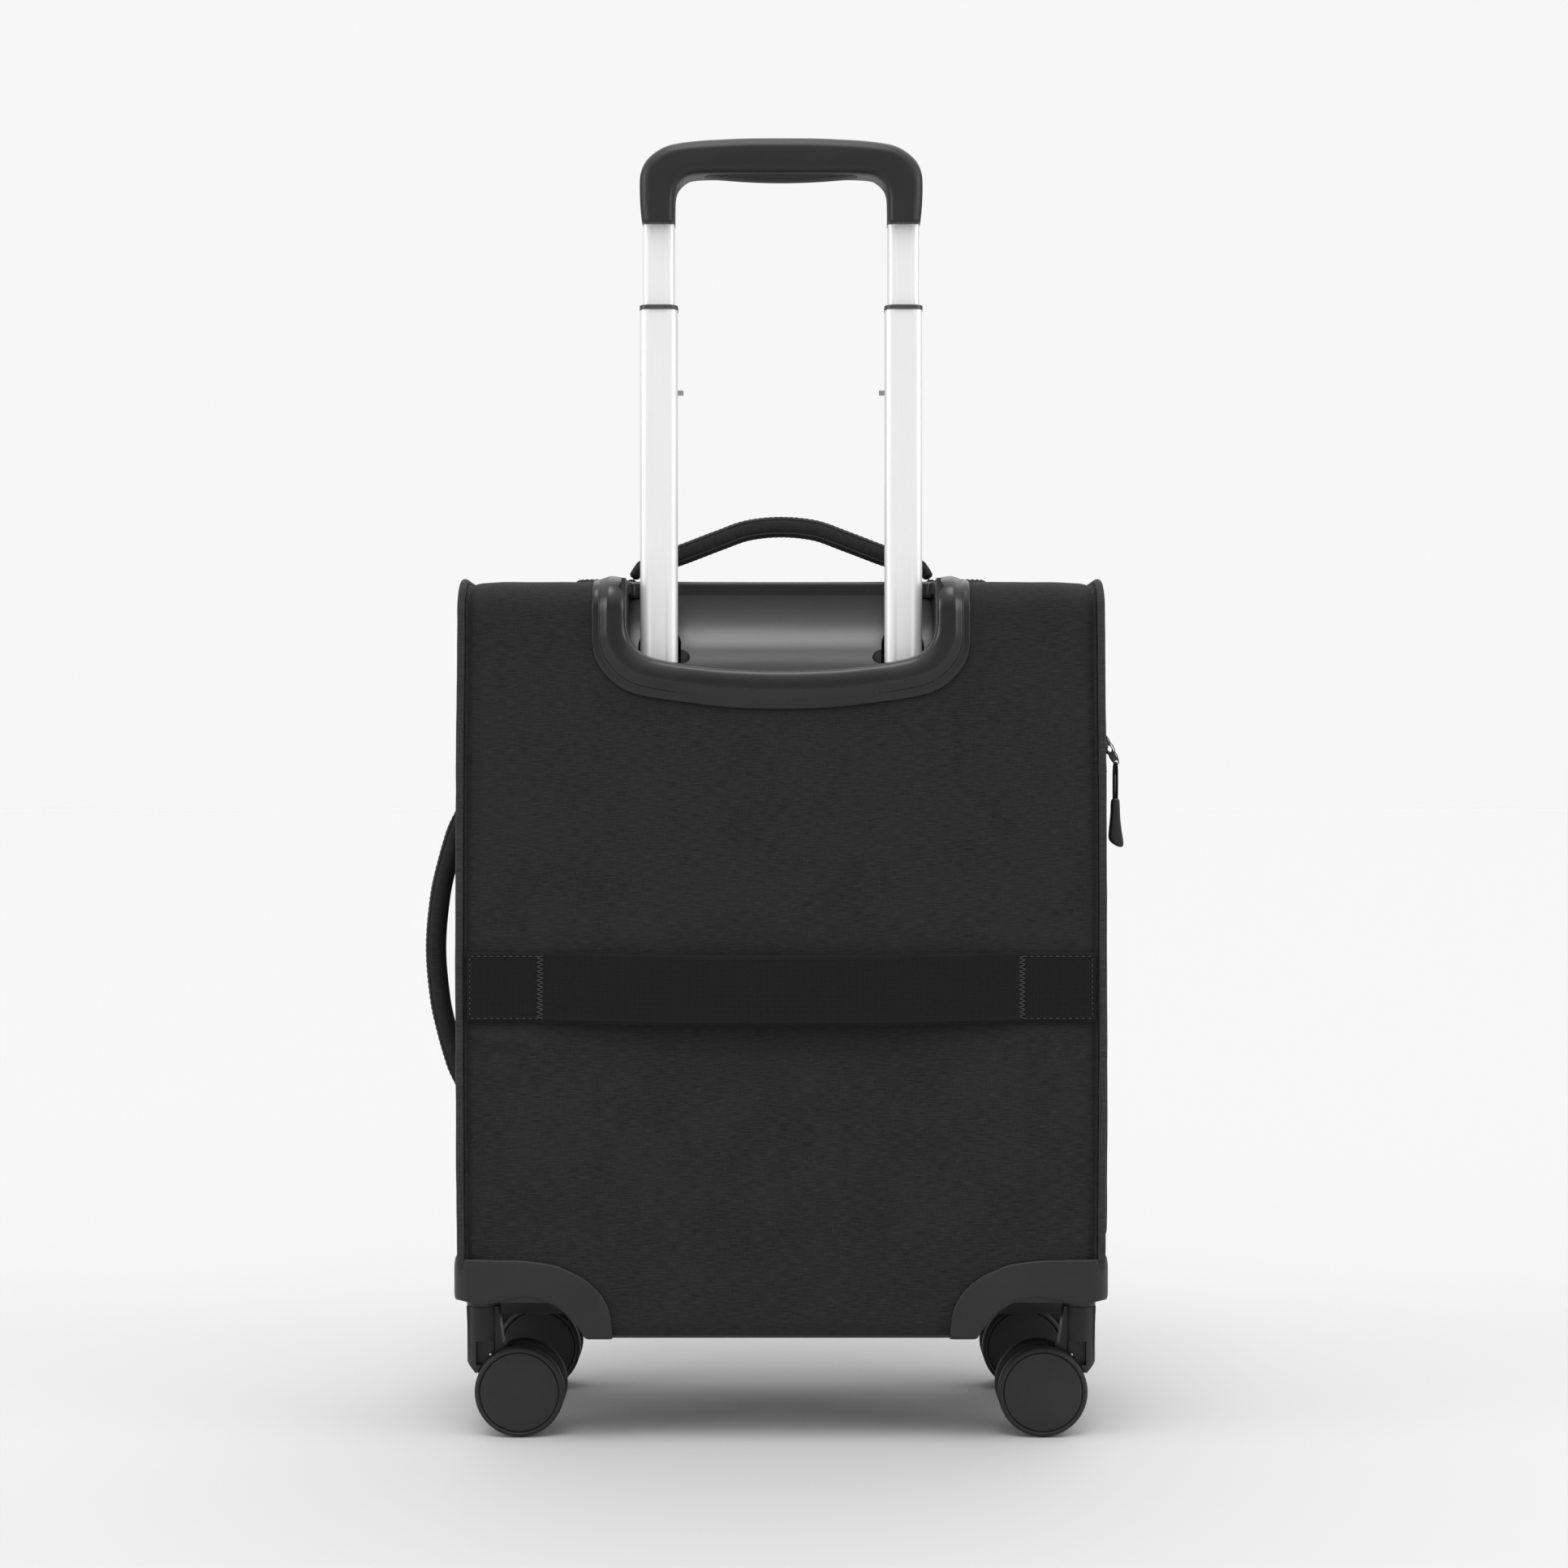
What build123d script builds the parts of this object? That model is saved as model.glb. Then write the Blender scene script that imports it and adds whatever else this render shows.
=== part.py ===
from build123d import *
from math import atan2, cos, sin
import os

# Softside upright suitcase. Millimetres, +Z up. The origin is on the floor under the
# middle of the case. The back faces +Y, the lid faces -Y, the side handle is on +X.

# ---- driving dimensions -------------------------------------------------------------
CASE_HEIGHT = 541          # floor to the top panel
CASE_BOTTOM = 67           # floor to the underside of the base
BACK_Y = 104               # outer face of the back panel
MOUTH_Y = -72              # front edge of the main compartment's walls
HALF_WIDTH = 200           # middle of the case to a side panel's outer face
WALL = 4                   # padded fabric over foam and board
EDGE_R = 20                # rounding where the back and front run into the top
PANEL_HALF = 196           # half width of the back and top panels, up to the piping
PIPING_R = 2.8
CORNER_STEPS = ((116, 102), (134, 114))  # inner and upper edge of each step cut from the back

LID_DEPTH = 12
LID_GAP = 0.6
LID_BOTTOM = 121
LID_HALF = 197

GUARD_HALF = 205           # outer faces of the corner guards
GUARD_PROUD = 2.6          # how far a guard stands off the fabric it covers
GUARD_TOP = 117
GUARD_INNER = 105          # where a guard's wing ends, from the middle of the case

WHEEL_R = 28.4
CASTER_X = 190             # swivel axis
CASTER_BACK_Y = 68
CASTER_FRONT_Y = -50
CASTER_TRAIL = 24.4        # wheel axle behind the swivel axis
STEM_R = 10.25
STEM_FOOT = 39.5
FORK_TOP = 81
FORK_ARM = 12              # thickness between the two wheels of a pair
TYRE_WIDTH = 9
TREAD_GAP = 0.5            # between the arm and each wheel
AXLE_R = 3

TUBE_X = 77.5              # handle tube axes
TUBE_Y = BACK_Y - 28
MIDDLE_W = 23.7            # middle tube section
MIDDLE_D = 19.4
UPPER_W = 20.0
UPPER_D = 14.2
OUTER_W = 26.8
OUTER_D = 22.6
TUBE_WALL = 1.1
FLUTE_DEPTH = 0.7          # shallow channel down the middle of each visible tube's faces
COLLAR_Z = 712.8           # top of the middle tube, underside of the collar's flange
COLLAR_T = 2.6
BUSH_LENGTH = 18           # part of a collar that reaches down into the middle tube
MIDDLE_LENGTH = 400
GRIP_BOTTOM = 766.5
GRIP_TOP = 821.2
PIN_Z = 661
UPPER_BOTTOM = 652
SOCKET_Z = 484             # floor of the sockets that the grip's legs drop into
SCOOP_Y = 54               # back wall of the recess under the grip
SCOOP_HALF = 97
SCOOP_WALL = 2.6
TUBE_FOOT_Z = 80

STRAP_LOW = 265
STRAP_WIDTH = 43.2
STRAP_T = 2
STRAP_SEWN_X = 150         # the strap is loose between these two rows of stitches
STRAP_STAND = 114          # how far out the strap's middle bows

HANDLE_Y = 28              # both carry handles run through this plane
HANDLE_R = 6.8

os.makedirs("parts", exist_ok=True)


def save(builder, name):
    """Label a finished piece and write it as its own STEP file."""
    builder.part.label = name
    export_step(builder.part, f"parts/{name}.step")


def sides():
    """The two sides of the case, by name and direction of X."""
    return (("left", 1), ("right", -1))


# ---- soft shell ---------------------------------------------------------------------
with BuildPart() as wrap:
    # The back and top panels are one strip bent over the top edge, cut apart below.
    with BuildSketch(Plane.YZ.offset(-PANEL_HALF)):
        with BuildLine():
            FilletPolyline(
                (BACK_Y, CASE_BOTTOM + 2),
                (BACK_Y, CASE_HEIGHT),
                (MOUTH_Y, CASE_HEIGHT),
                radius=EDGE_R,
            )
            inner = FilletPolyline(
                (BACK_Y - WALL, CASE_BOTTOM + 2),
                (BACK_Y - WALL, CASE_HEIGHT - WALL),
                (MOUTH_Y, CASE_HEIGHT - WALL),
                radius=EDGE_R - WALL,
            )
            Line((BACK_Y, CASE_BOTTOM + 2), inner @ 0)
            Line((MOUTH_Y, CASE_HEIGHT), inner @ 1)
        make_face()
    extrude(amount=2 * PANEL_HALF)
    # notch for the recess of the pull handle
    notch_bottom = SOCKET_Z - 12
    notch_top = CASE_HEIGHT + WALL
    notch_back = BACK_Y + 2
    notch_front = SCOOP_Y - SCOOP_WALL - 0.6
    with Locations((0, (notch_front + notch_back) / 2, (notch_bottom + notch_top) / 2)):
        Box(
            2 * (SCOOP_HALF + SCOOP_WALL + 0.4),
            notch_back - notch_front,
            notch_top - notch_bottom,
            mode=Mode.SUBTRACT,
        )
    # lower corners end behind the corner guards
    for x, near_side in ((-1, Align.MAX), (1, Align.MIN)):
        for step_x, step_z in CORNER_STEPS:
            with Locations((x * step_x, BACK_Y, step_z)):
                Box(
                    PANEL_HALF, 3 * WALL, CASE_BOTTOM,
                    align=(near_side, Align.CENTER, Align.MAX), mode=Mode.SUBTRACT,
                )

split_z = CASE_HEIGHT - EDGE_R
with BuildPart() as back_panel:
    add(wrap.part)
    split(bisect_by=Plane.XY.offset(split_z), keep=Keep.BOTTOM)
save(back_panel, "back_panel")

with BuildPart() as top_panel:
    add(wrap.part)
    split(bisect_by=Plane.XY.offset(split_z), keep=Keep.TOP)
save(top_panel, "top_panel")

for name, side in sides():
    with BuildPart() as side_panel:
        with BuildSketch(Plane.YZ.offset(side * PANEL_HALF)):
            with BuildLine():
                FilletPolyline(
                    (BACK_Y - WALL - 0.5, GUARD_TOP - 20),
                    (BACK_Y - WALL - 0.5, CASE_HEIGHT - WALL - 0.5),
                    (MOUTH_Y, CASE_HEIGHT - WALL - 0.5),
                    (MOUTH_Y, GUARD_TOP - 20),
                    (BACK_Y - WALL - 0.5, GUARD_TOP - 20),
                    radius=(1, EDGE_R - WALL, 1, 1),
                )
            make_face()
        extrude(amount=side * (HALF_WIDTH - PANEL_HALF))
    save(side_panel, f"side_panel_{name}")

    with BuildPart() as piping:
        # cord sewn into the seam between the side panel and the wrap
        with BuildLine() as seam:
            FilletPolyline(
                (side * HALF_WIDTH, BACK_Y, GUARD_TOP + 2),
                (side * HALF_WIDTH, BACK_Y, CASE_HEIGHT),
                (side * HALF_WIDTH, MOUTH_Y + 3, CASE_HEIGHT),
                radius=EDGE_R,
            )
        with BuildSketch(Plane(origin=seam.line @ 0, z_dir=seam.line % 0)):
            Circle(PIPING_R)
        sweep()
    save(piping, f"piping_{name}")

# ---- base tray, wheel wells and corner guards ---------------------------------------


def well_line():
    """Arch of a wheel well, drawn outwards from the middle of the case."""
    half = GUARD_HALF
    corner = half + 12
    with BuildLine() as arch:
        Line((GUARD_INNER + 15, CASE_BOTTOM - 6), (GUARD_INNER + 20, 71))
        ThreePointArc((GUARD_INNER + 20, 71), (136, 84.5), (158, 92.5))
        Spline(
            (158, 92.5),
            (172, 91),
            (half - 16, 89),
            tangents=[(1, 0.05), (1, 0)],
        )
        Line((half - 16, 89), (corner, 89))
        Line((corner, 89), (corner, CASE_BOTTOM - 6))
        Line((corner, CASE_BOTTOM - 6), (GUARD_INNER + 15, CASE_BOTTOM - 6))
    return arch.line


def guard_line():
    """Outline of a guard's wing, drawn outwards from the middle of the case."""
    with BuildLine() as wing:
        Line((GUARD_INNER, CASE_BOTTOM + 0.5), (GUARD_INNER + 1, 76))
        Spline(
            (GUARD_INNER + 1, 76),
            (114.3, 97.7),
            (132.4, 110),
            (162, GUARD_TOP),
            tangents=[(0.1, 1), (1, 0)],
        )
        Line((162, GUARD_TOP), (GUARD_HALF + 12, GUARD_TOP))
        Line((GUARD_HALF + 12, GUARD_TOP), (GUARD_HALF + 12, CASE_BOTTOM + 0.5))
        Line((GUARD_HALF + 12, CASE_BOTTOM + 0.5), (GUARD_INNER, CASE_BOTTOM + 0.5))
    return wing.line


# The wings along the sides are shorter than those along the back: the same outlines
# are pushed outwards so that they end closer to the corner.
FRONT_Y = MOUTH_Y - LID_DEPTH
SIDE_SHIFT_BACK = -90
SIDE_SHIFT_FRONT = 110


def corner_solid(outline, x_side, y_side):
    """The space under one outline seen from the back and, at once, from the side."""
    shift = SIDE_SHIFT_BACK if y_side > 0 else SIDE_SHIFT_FRONT
    reach = 240
    from_back = Plane(origin=(0, -x_side * reach, 0), x_dir=(x_side, 0, 0), z_dir=(0, -x_side, 0))
    drop = 0.05            # keeps the two roofs from lying in one plane
    from_side = Plane(
        origin=(-y_side * reach, shift, -drop), x_dir=(0, y_side, 0), z_dir=(y_side, 0, 0)
    )
    with BuildPart() as block:
        with BuildSketch(from_back):
            make_face(outline.edges())
        extrude(amount=-2 * reach)
        with BuildSketch(from_side):
            make_face(outline.edges())
        extrude(amount=2 * reach, mode=Mode.INTERSECT)
    return block.part


CORNERS = [
    (f"{depth}_{width}", x_side, y_side)
    for depth, y_side in (("back", 1), ("front", -1))
    for width, x_side in sides()
]

well_outline = well_line()
wing_outline = guard_line()
wells = {name: corner_solid(well_outline, x, y) for name, x, y in CORNERS}
GUARD_BACK_Y = BACK_Y + GUARD_PROUD
GUARD_FRONT_Y = FRONT_Y - GUARD_PROUD

for name, x_side, y_side in CORNERS:
    wing = corner_solid(wing_outline, x_side, y_side)
    with BuildPart() as guard:
        with BuildSketch(Plane.XY.offset(CASE_BOTTOM)):
            with Locations((0, (GUARD_BACK_Y + GUARD_FRONT_Y) / 2)):
                RectangleRounded(2 * GUARD_HALF, GUARD_BACK_Y - GUARD_FRONT_Y, 13)
                RectangleRounded(
                    2 * (HALF_WIDTH + 3.2),
                    BACK_Y - FRONT_Y + 0.6,
                    11,
                    mode=Mode.SUBTRACT,
                )
        extrude(amount=GUARD_TOP - CASE_BOTTOM + 4)
        add(wing, mode=Mode.INTERSECT)
        add(wells[name], mode=Mode.SUBTRACT)
    save(guard, f"corner_guard_{name}")

TRAY_TOP = 96
TRAY_T = 3
with BuildPart() as tray_room:
    # packing space inside the tray, drawn in over the wells
    with Locations((0, (BACK_Y + FRONT_Y) / 2, (CASE_BOTTOM + TRAY_T + TRAY_TOP + 10) / 2)):
        Box(
            2 * (HALF_WIDTH - WALL - TRAY_T),
            BACK_Y - FRONT_Y - 2 * (WALL + TRAY_T),
            TRAY_TOP + 10 - CASE_BOTTOM - TRAY_T,
        )
    for name, x_side, y_side in CORNERS:
        add(wells[name].moved(Location((0, 0, TRAY_T))), mode=Mode.SUBTRACT)
        inward = Location((-x_side * TRAY_T, -y_side * TRAY_T, TRAY_T))
        add(wells[name].moved(inward), mode=Mode.SUBTRACT)

with BuildPart() as base_tray:
    with BuildSketch(Plane.XY.offset(CASE_BOTTOM)):
        with Locations((0, (BACK_Y + FRONT_Y) / 2)):
            RectangleRounded(2 * (HALF_WIDTH - WALL - 0.4), BACK_Y - FRONT_Y - 2 * WALL - 0.8, 8)
    extrude(amount=TRAY_TOP - CASE_BOTTOM)
    add(tray_room.part, mode=Mode.SUBTRACT)
    for name, x_side, y_side in CORNERS:
        add(wells[name], mode=Mode.SUBTRACT)
save(base_tray, "base_tray")

with BuildPart() as front_sill:
    # fixed strip of the front below the lid
    with Locations((0, FRONT_Y + WALL / 2 - 0.2, (CASE_BOTTOM + 1 + GUARD_TOP) / 2)):
        Box(2 * PANEL_HALF - 8, WALL - 0.4, GUARD_TOP - CASE_BOTTOM - 1)
    for name, x_side, y_side in CORNERS:
        add(wells[name], mode=Mode.SUBTRACT)
save(front_sill, "front_sill")

# ---- recess and bezel of the pull handle --------------------------------------------


def u_face(half, top, bottom, rise, corner_r, top_r=0):
    """Face with straight sides, a bottom that bows down by rise, and round corners."""
    with BuildSketch() as face:
        with BuildLine():
            Polyline((-half, bottom + rise), (-half, top), (half, top), (half, bottom + rise))
            ThreePointArc((-half, bottom + rise), (0, bottom), (half, bottom + rise))
        make_face()
        fillet(face.vertices().group_by(Axis.Y)[0], radius=corner_r)
        if top_r:
            fillet(face.vertices().group_by(Axis.Y)[-1], radius=top_r)
    return face.sketch


LIP_Z = 483.3              # lowest point of the recess's edge, in the middle
RECESS_RISE = 9.6
RECESS_R = 23
RECESS_TOP = CASE_HEIGHT + 6
recess_face = u_face(SCOOP_HALF, RECESS_TOP, LIP_Z, RECESS_RISE, RECESS_R)
scoop_face = u_face(
    SCOOP_HALF + SCOOP_WALL, RECESS_TOP, LIP_Z - SCOOP_WALL, RECESS_RISE, RECESS_R + SCOOP_WALL
)


def edges_at_y(part, y):
    """The rounded lower edges that lie in the plane at y."""
    ring = part.edges().filter_by_position(Axis.Y, y - 0.1, y + 0.1)
    return [e for e in ring if e.center().Z < CASE_HEIGHT + 5]


CURL = 0.5523              # makes a quarter of an ellipse of the curve below


def chute_space(skin, front):
    """All that lies above the recess's hollow floor, which sweeps up into its back wall."""
    deep = BACK_Y - SCOOP_Y + skin
    tall = CASE_HEIGHT - LIP_Z + skin
    with BuildPart() as space:
        with BuildSketch(Plane.YZ.offset(-SCOOP_HALF - 10)):
            with BuildLine():
                floor = Bezier(
                    (BACK_Y - deep, CASE_HEIGHT),
                    (BACK_Y - deep, CASE_HEIGHT - CURL * tall),
                    (BACK_Y - CURL * deep, CASE_HEIGHT - tall),
                    (BACK_Y, CASE_HEIGHT - tall),
                )
                Polyline(
                    floor @ 0,
                    (BACK_Y - deep, RECESS_TOP + 1),
                    (front, RECESS_TOP + 1),
                    (front, CASE_HEIGHT - tall),
                    floor @ 1,
                )
            make_face()
        extrude(amount=2 * SCOOP_HALF + 20)
    return space.part


with BuildPart() as scoop_room:
    with BuildSketch(Plane.XZ.offset(-BACK_Y - 12)):
        add(recess_face)
    extrude(amount=BACK_Y + 12 - SCOOP_Y)
    add(chute_space(0, BACK_Y + 13), mode=Mode.INTERSECT)

SOCKET_HALF_X = 13.6
SOCKET_HALF_Y = 14.2
LOBE_R = 6


def socket_outline():
    """Plan of a leg's socket."""
    RectangleRounded(2 * SOCKET_HALF_X, 2 * SOCKET_HALF_Y, 5)


with BuildPart() as handle_scoop:
    with BuildSketch(Plane.XZ.offset(-BACK_Y + 0.4)):
        add(scoop_face)
    extrude(amount=BACK_Y - 0.4 - SCOOP_Y + SCOOP_WALL)
    add(chute_space(SCOOP_WALL, BACK_Y + 1), mode=Mode.INTERSECT)
    # bosses under the floor carry the sockets
    for x in (-1, 1):
        with BuildSketch(Plane.XY.offset(SOCKET_Z - 3)):
            with Locations((x * TUBE_X, TUBE_Y)):
                RectangleRounded(2 * SOCKET_HALF_X + 5, 2 * SOCKET_HALF_Y + 5, 6)
            with Locations((x * (TUBE_X - SOCKET_HALF_X), TUBE_Y)):
                Circle(LOBE_R + 2.5)
        extrude(amount=16)
    add(scoop_room.part, mode=Mode.SUBTRACT)
    for x in (-1, 1):
        with BuildSketch(Plane.XY.offset(SOCKET_Z)):
            with Locations((x * TUBE_X, TUBE_Y)):
                socket_outline()
            with Locations((x * (TUBE_X - SOCKET_HALF_X), TUBE_Y)):
                Circle(LOBE_R)
        extrude(amount=30, mode=Mode.SUBTRACT)
        with BuildSketch(Plane.XY.offset(SOCKET_Z - 4)):
            with Locations((x * TUBE_X, TUBE_Y)):
                RectangleRounded(MIDDLE_W + 0.5, MIDDLE_D + 0.5, 5)
            with Locations((x * (TUBE_X - MIDDLE_W / 2 - 1.5), TUBE_Y)):
                Rectangle(7, 4.4)
        extrude(amount=8, mode=Mode.SUBTRACT)
    # trimmed level with the top panel
    with Locations((0, BACK_Y - 20, CASE_HEIGHT + 20 + 0.5)):
        Box(300, 120, 40, mode=Mode.SUBTRACT)
save(handle_scoop, "handle_scoop")

BEZEL_HALF = 118
BEZEL_BOTTOM = 459.2
BEZEL_TOP = 534
BEZEL_FACE = BACK_Y + 6.5
FLANGE = 4                 # flat border outside the bezel's raised band


bezel_foot = u_face(BEZEL_HALF, BEZEL_TOP, BEZEL_BOTTOM, rise=16, corner_r=27, top_r=6)
bezel_band = u_face(
    BEZEL_HALF - FLANGE, BEZEL_TOP - 1, BEZEL_BOTTOM + FLANGE, rise=15.5, corner_r=24, top_r=5
)

with BuildPart() as handle_bezel:
    with BuildSketch(Plane.XZ.offset(-BACK_Y - 0.2)):
        add(bezel_foot)
    extrude(amount=-1.8)
    with BuildSketch(Plane.XZ.offset(-BACK_Y - 0.2)):
        add(bezel_band)
    extrude(amount=-(BEZEL_FACE - BACK_Y - 0.2))
    chamfer(edges_at_y(handle_bezel.part, BEZEL_FACE), length=2.2)
    with BuildSketch(Plane.XZ.offset(-BACK_Y + 2)):
        add(recess_face)
    extrude(amount=-14, mode=Mode.SUBTRACT)
save(handle_bezel, "handle_bezel")

# ---- telescopic handle --------------------------------------------------------------


def tube_section(width, depth, flute):
    """Section of a handle tube: rounded, with a shallow channel in its wide faces."""
    with BuildSketch() as section:
        RectangleRounded(width, depth, 0.3 * depth)
        if flute:
            for y in (-1, 1):
                with Locations(Location((0, y * depth / 2, 0), (0, 0, 90 - y * 90))):
                    Trapezoid(
                        0.42 * width, 2 * flute, 60, align=(Align.CENTER, Align.CENTER),
                        mode=Mode.SUBTRACT,
                    )
    return section.sketch


def make_tubes(name, width, depth, bottom, top, flute, slot):
    """A pair of hollow tubes. slot is the height range of the slots for the lock pins."""
    room_depth = depth - 2 * (TUBE_WALL + flute)
    section = tube_section(width, depth, flute)
    with BuildPart() as tubes:
        with BuildSketch(Plane.XY.offset(bottom)):
            with Locations((-TUBE_X, TUBE_Y), (TUBE_X, TUBE_Y)):
                add(section)
            with Locations((-TUBE_X, TUBE_Y), (TUBE_X, TUBE_Y)):
                RectangleRounded(width - 2 * TUBE_WALL, room_depth, 4, mode=Mode.SUBTRACT)
        extrude(amount=top - bottom)
        low, high = slot
        inner_face = TUBE_X - width / 2
        middle = (low + high) / 2
        with Locations((-inner_face, TUBE_Y, middle), (inner_face, TUBE_Y, middle)):
            Box(4 * TUBE_WALL, 4.2, high - low, mode=Mode.SUBTRACT)
    save(tubes, name)


MIDDLE_DOWN = 228          # how far the middle stage slides down
UPPER_DOWN = 51            # how far the upper stage slides down
BOTH_TUBES = ((-TUBE_X, TUBE_Y), (TUBE_X, TUBE_Y))

make_tubes(
    "outer_tubes", OUTER_W, OUTER_D, TUBE_FOOT_Z, SOCKET_Z - 3.4,
    flute=0, slot=(PIN_Z - MIDDLE_DOWN - UPPER_DOWN - 4, SOCKET_Z),
)
make_tubes(
    "middle_tubes", MIDDLE_W, MIDDLE_D, COLLAR_Z - MIDDLE_LENGTH, COLLAR_Z,
    flute=FLUTE_DEPTH, slot=(PIN_Z - UPPER_DOWN - 4, PIN_Z + 4),
)
make_tubes(
    "upper_tubes", UPPER_W, UPPER_D, UPPER_BOTTOM, GRIP_BOTTOM + 22,
    flute=FLUTE_DEPTH, slot=(PIN_Z - 1.8, PIN_Z + 1.8),
)

with BuildPart() as tube_collars:
    # flange on each middle tube's end, with a bush inside it that guides the upper tube
    with BuildSketch(Plane.XY.offset(COLLAR_Z)):
        with Locations(*BOTH_TUBES):
            RectangleRounded(MIDDLE_W + 0.4, MIDDLE_D + 0.4, 6)
    extrude(amount=COLLAR_T)
    with BuildSketch(Plane.XY.offset(COLLAR_Z - BUSH_LENGTH)):
        with Locations(*BOTH_TUBES):
            RectangleRounded(
                MIDDLE_W - 2 * TUBE_WALL - 0.04,
                MIDDLE_D - 2 * (TUBE_WALL + FLUTE_DEPTH) - 0.04,
                4,
            )
    extrude(amount=BUSH_LENGTH)
    with BuildSketch(Plane.XY.offset(COLLAR_Z - BUSH_LENGTH)):
        with Locations(*BOTH_TUBES):
            RectangleRounded(UPPER_W + 0.3, UPPER_D + 0.3, 0.3 * UPPER_D)
    extrude(amount=BUSH_LENGTH + COLLAR_T, mode=Mode.SUBTRACT)
save(tube_collars, "tube_collars")

for name, side in sides():
    with BuildPart() as lock_pin:
        with Locations((side * (TUBE_X - MIDDLE_W / 2 + 1.5), TUBE_Y, PIN_Z)):
            Box(10.2, 3, 3)
    save(lock_pin, f"lock_pin_{name}")

GRIP_HALF = 89.6
GRIP_DEPTH = 26
LEG_INNER = 67.2
SHOULDER_Z = 788           # where a leg's outer side starts to bend over
UNDER_Z = 798              # underside of the grip's bar
UNDER_HALF = 54
with BuildPart() as grip:
    with BuildSketch(Plane.XZ.offset(-TUBE_Y - GRIP_DEPTH / 2)):
        with BuildLine():
            outer_leg = Line((GRIP_HALF - 1.6, GRIP_BOTTOM), (GRIP_HALF, SHOULDER_Z))
            corner = ThreePointArc(outer_leg @ 1, (GRIP_HALF - 6.3, 808.5), (68, 817.2))
            crown = ThreePointArc(corner @ 1, (0, GRIP_TOP), (-68, 817.2))
            far_corner = ThreePointArc(crown @ 1, (-GRIP_HALF + 6.3, 808.5), (-GRIP_HALF, SHOULDER_Z))
            Line(far_corner @ 1, (-GRIP_HALF + 1.6, GRIP_BOTTOM))
            Line((-GRIP_HALF + 1.6, GRIP_BOTTOM), (-LEG_INNER, GRIP_BOTTOM))
            Line((-LEG_INNER, GRIP_BOTTOM), (-LEG_INNER, 784))
            ThreePointArc((-LEG_INNER, 784), (-63.6, 793.6), (-UNDER_HALF, UNDER_Z))
            Line((-UNDER_HALF, UNDER_Z), (UNDER_HALF, UNDER_Z))
            ThreePointArc((UNDER_HALF, UNDER_Z), (63.6, 793.6), (LEG_INNER, 784))
            Line((LEG_INNER, 784), (LEG_INNER, GRIP_BOTTOM))
            Line((LEG_INNER, GRIP_BOTTOM), outer_leg @ 0)
        make_face()
    extrude(amount=GRIP_DEPTH)
    long_edges = (
        grip.edges()
        .filter_by_position(Axis.Z, GRIP_BOTTOM + 1, GRIP_TOP)
        .filter_by(GeomType.LINE, reverse=True)
    )
    straight = grip.edges().filter_by(GeomType.LINE)
    front_back = [e for e in straight if abs(e.center().Y - TUBE_Y) > 12 and e.center().Z > 770]
    fillet(list(long_edges) + front_back, radius=4.6)
    # bores for the upper tubes
    for x in (-1, 1):
        with BuildSketch(Plane.XY.offset(GRIP_BOTTOM)):
            with Locations((x * TUBE_X, TUBE_Y)):
                RectangleRounded(UPPER_W + 0.1, UPPER_D + 0.1, 0.3 * UPPER_D)
        extrude(amount=22.2, mode=Mode.SUBTRACT)
    # slot for the release button
    with BuildSketch(Plane.XY.offset(GRIP_TOP - 9)):
        with Locations((0, TUBE_Y)):
            RectangleRounded(40.8, 11.8, 4)
    extrude(amount=12, mode=Mode.SUBTRACT)
save(grip, "grip")

with BuildPart() as grip_insert:
    # soft pad under the grip, bowed downwards
    with BuildSketch(Plane.XZ.offset(-TUBE_Y - 7)):
        with BuildLine():
            Line((-50, UNDER_Z - 0.1), (50, UNDER_Z - 0.1))
            ThreePointArc((50, UNDER_Z - 0.1), (0, UNDER_Z - 3.8), (-50, UNDER_Z - 0.1))
        make_face()
    extrude(amount=14)
save(grip_insert, "grip_insert")

with BuildPart() as release_button:
    with BuildSketch(Plane.XY.offset(GRIP_TOP - 5.4)):
        with Locations((0, TUBE_Y)):
            RectangleRounded(40, 11, 3.6)
    extrude(amount=5.4)
    fillet(release_button.faces().sort_by(Axis.Z)[-1].edges(), radius=1)
save(release_button, "release_button")

with BuildPart() as foot_bracket:
    # bar that clamps the lower ends of both outer tubes to the back
    with Locations((0, TUBE_Y, TUBE_FOOT_Z + 7)):
        Box(2 * TUBE_X + 40, OUTER_D + 6, 22)
    for x in (-1, 1):
        with BuildSketch(Plane.XY.offset(TUBE_FOOT_Z)):
            with Locations((x * TUBE_X, TUBE_Y)):
                RectangleRounded(OUTER_W + 0.1, OUTER_D + 0.1, 0.3 * OUTER_D)
        extrude(amount=30, mode=Mode.SUBTRACT)
        with Locations((x * 30, TUBE_Y, TUBE_FOOT_Z + 7)):
            Cylinder(2.6, 60, rotation=(90, 0, 0), mode=Mode.SUBTRACT)
save(foot_bracket, "foot_bracket")

# ---- casters ------------------------------------------------------------------------
CASTERS = [
    (f"{depth}_{width}", side * CASTER_X, y, -side)
    for depth, y in (("back", CASTER_BACK_Y), ("front", CASTER_FRONT_Y))
    for width, side in sides()
]
PIN_R = 4
WELL_ROOF = 89

with BuildPart() as caster_sockets:
    for name, x, y, trail in CASTERS:
        with BuildSketch(Plane.XY.offset(FORK_TOP + 0.4)):
            with Locations((x, y)):
                Circle(10.5)
        extrude(amount=WELL_ROOF - FORK_TOP - 0.5)
        with Locations((x, y, FORK_TOP + 0.4)):
            Cylinder(PIN_R + 0.05, 7, align=(Align.CENTER, Align.CENTER, Align.MIN), mode=Mode.SUBTRACT)
save(caster_sockets, "caster_sockets")

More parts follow.
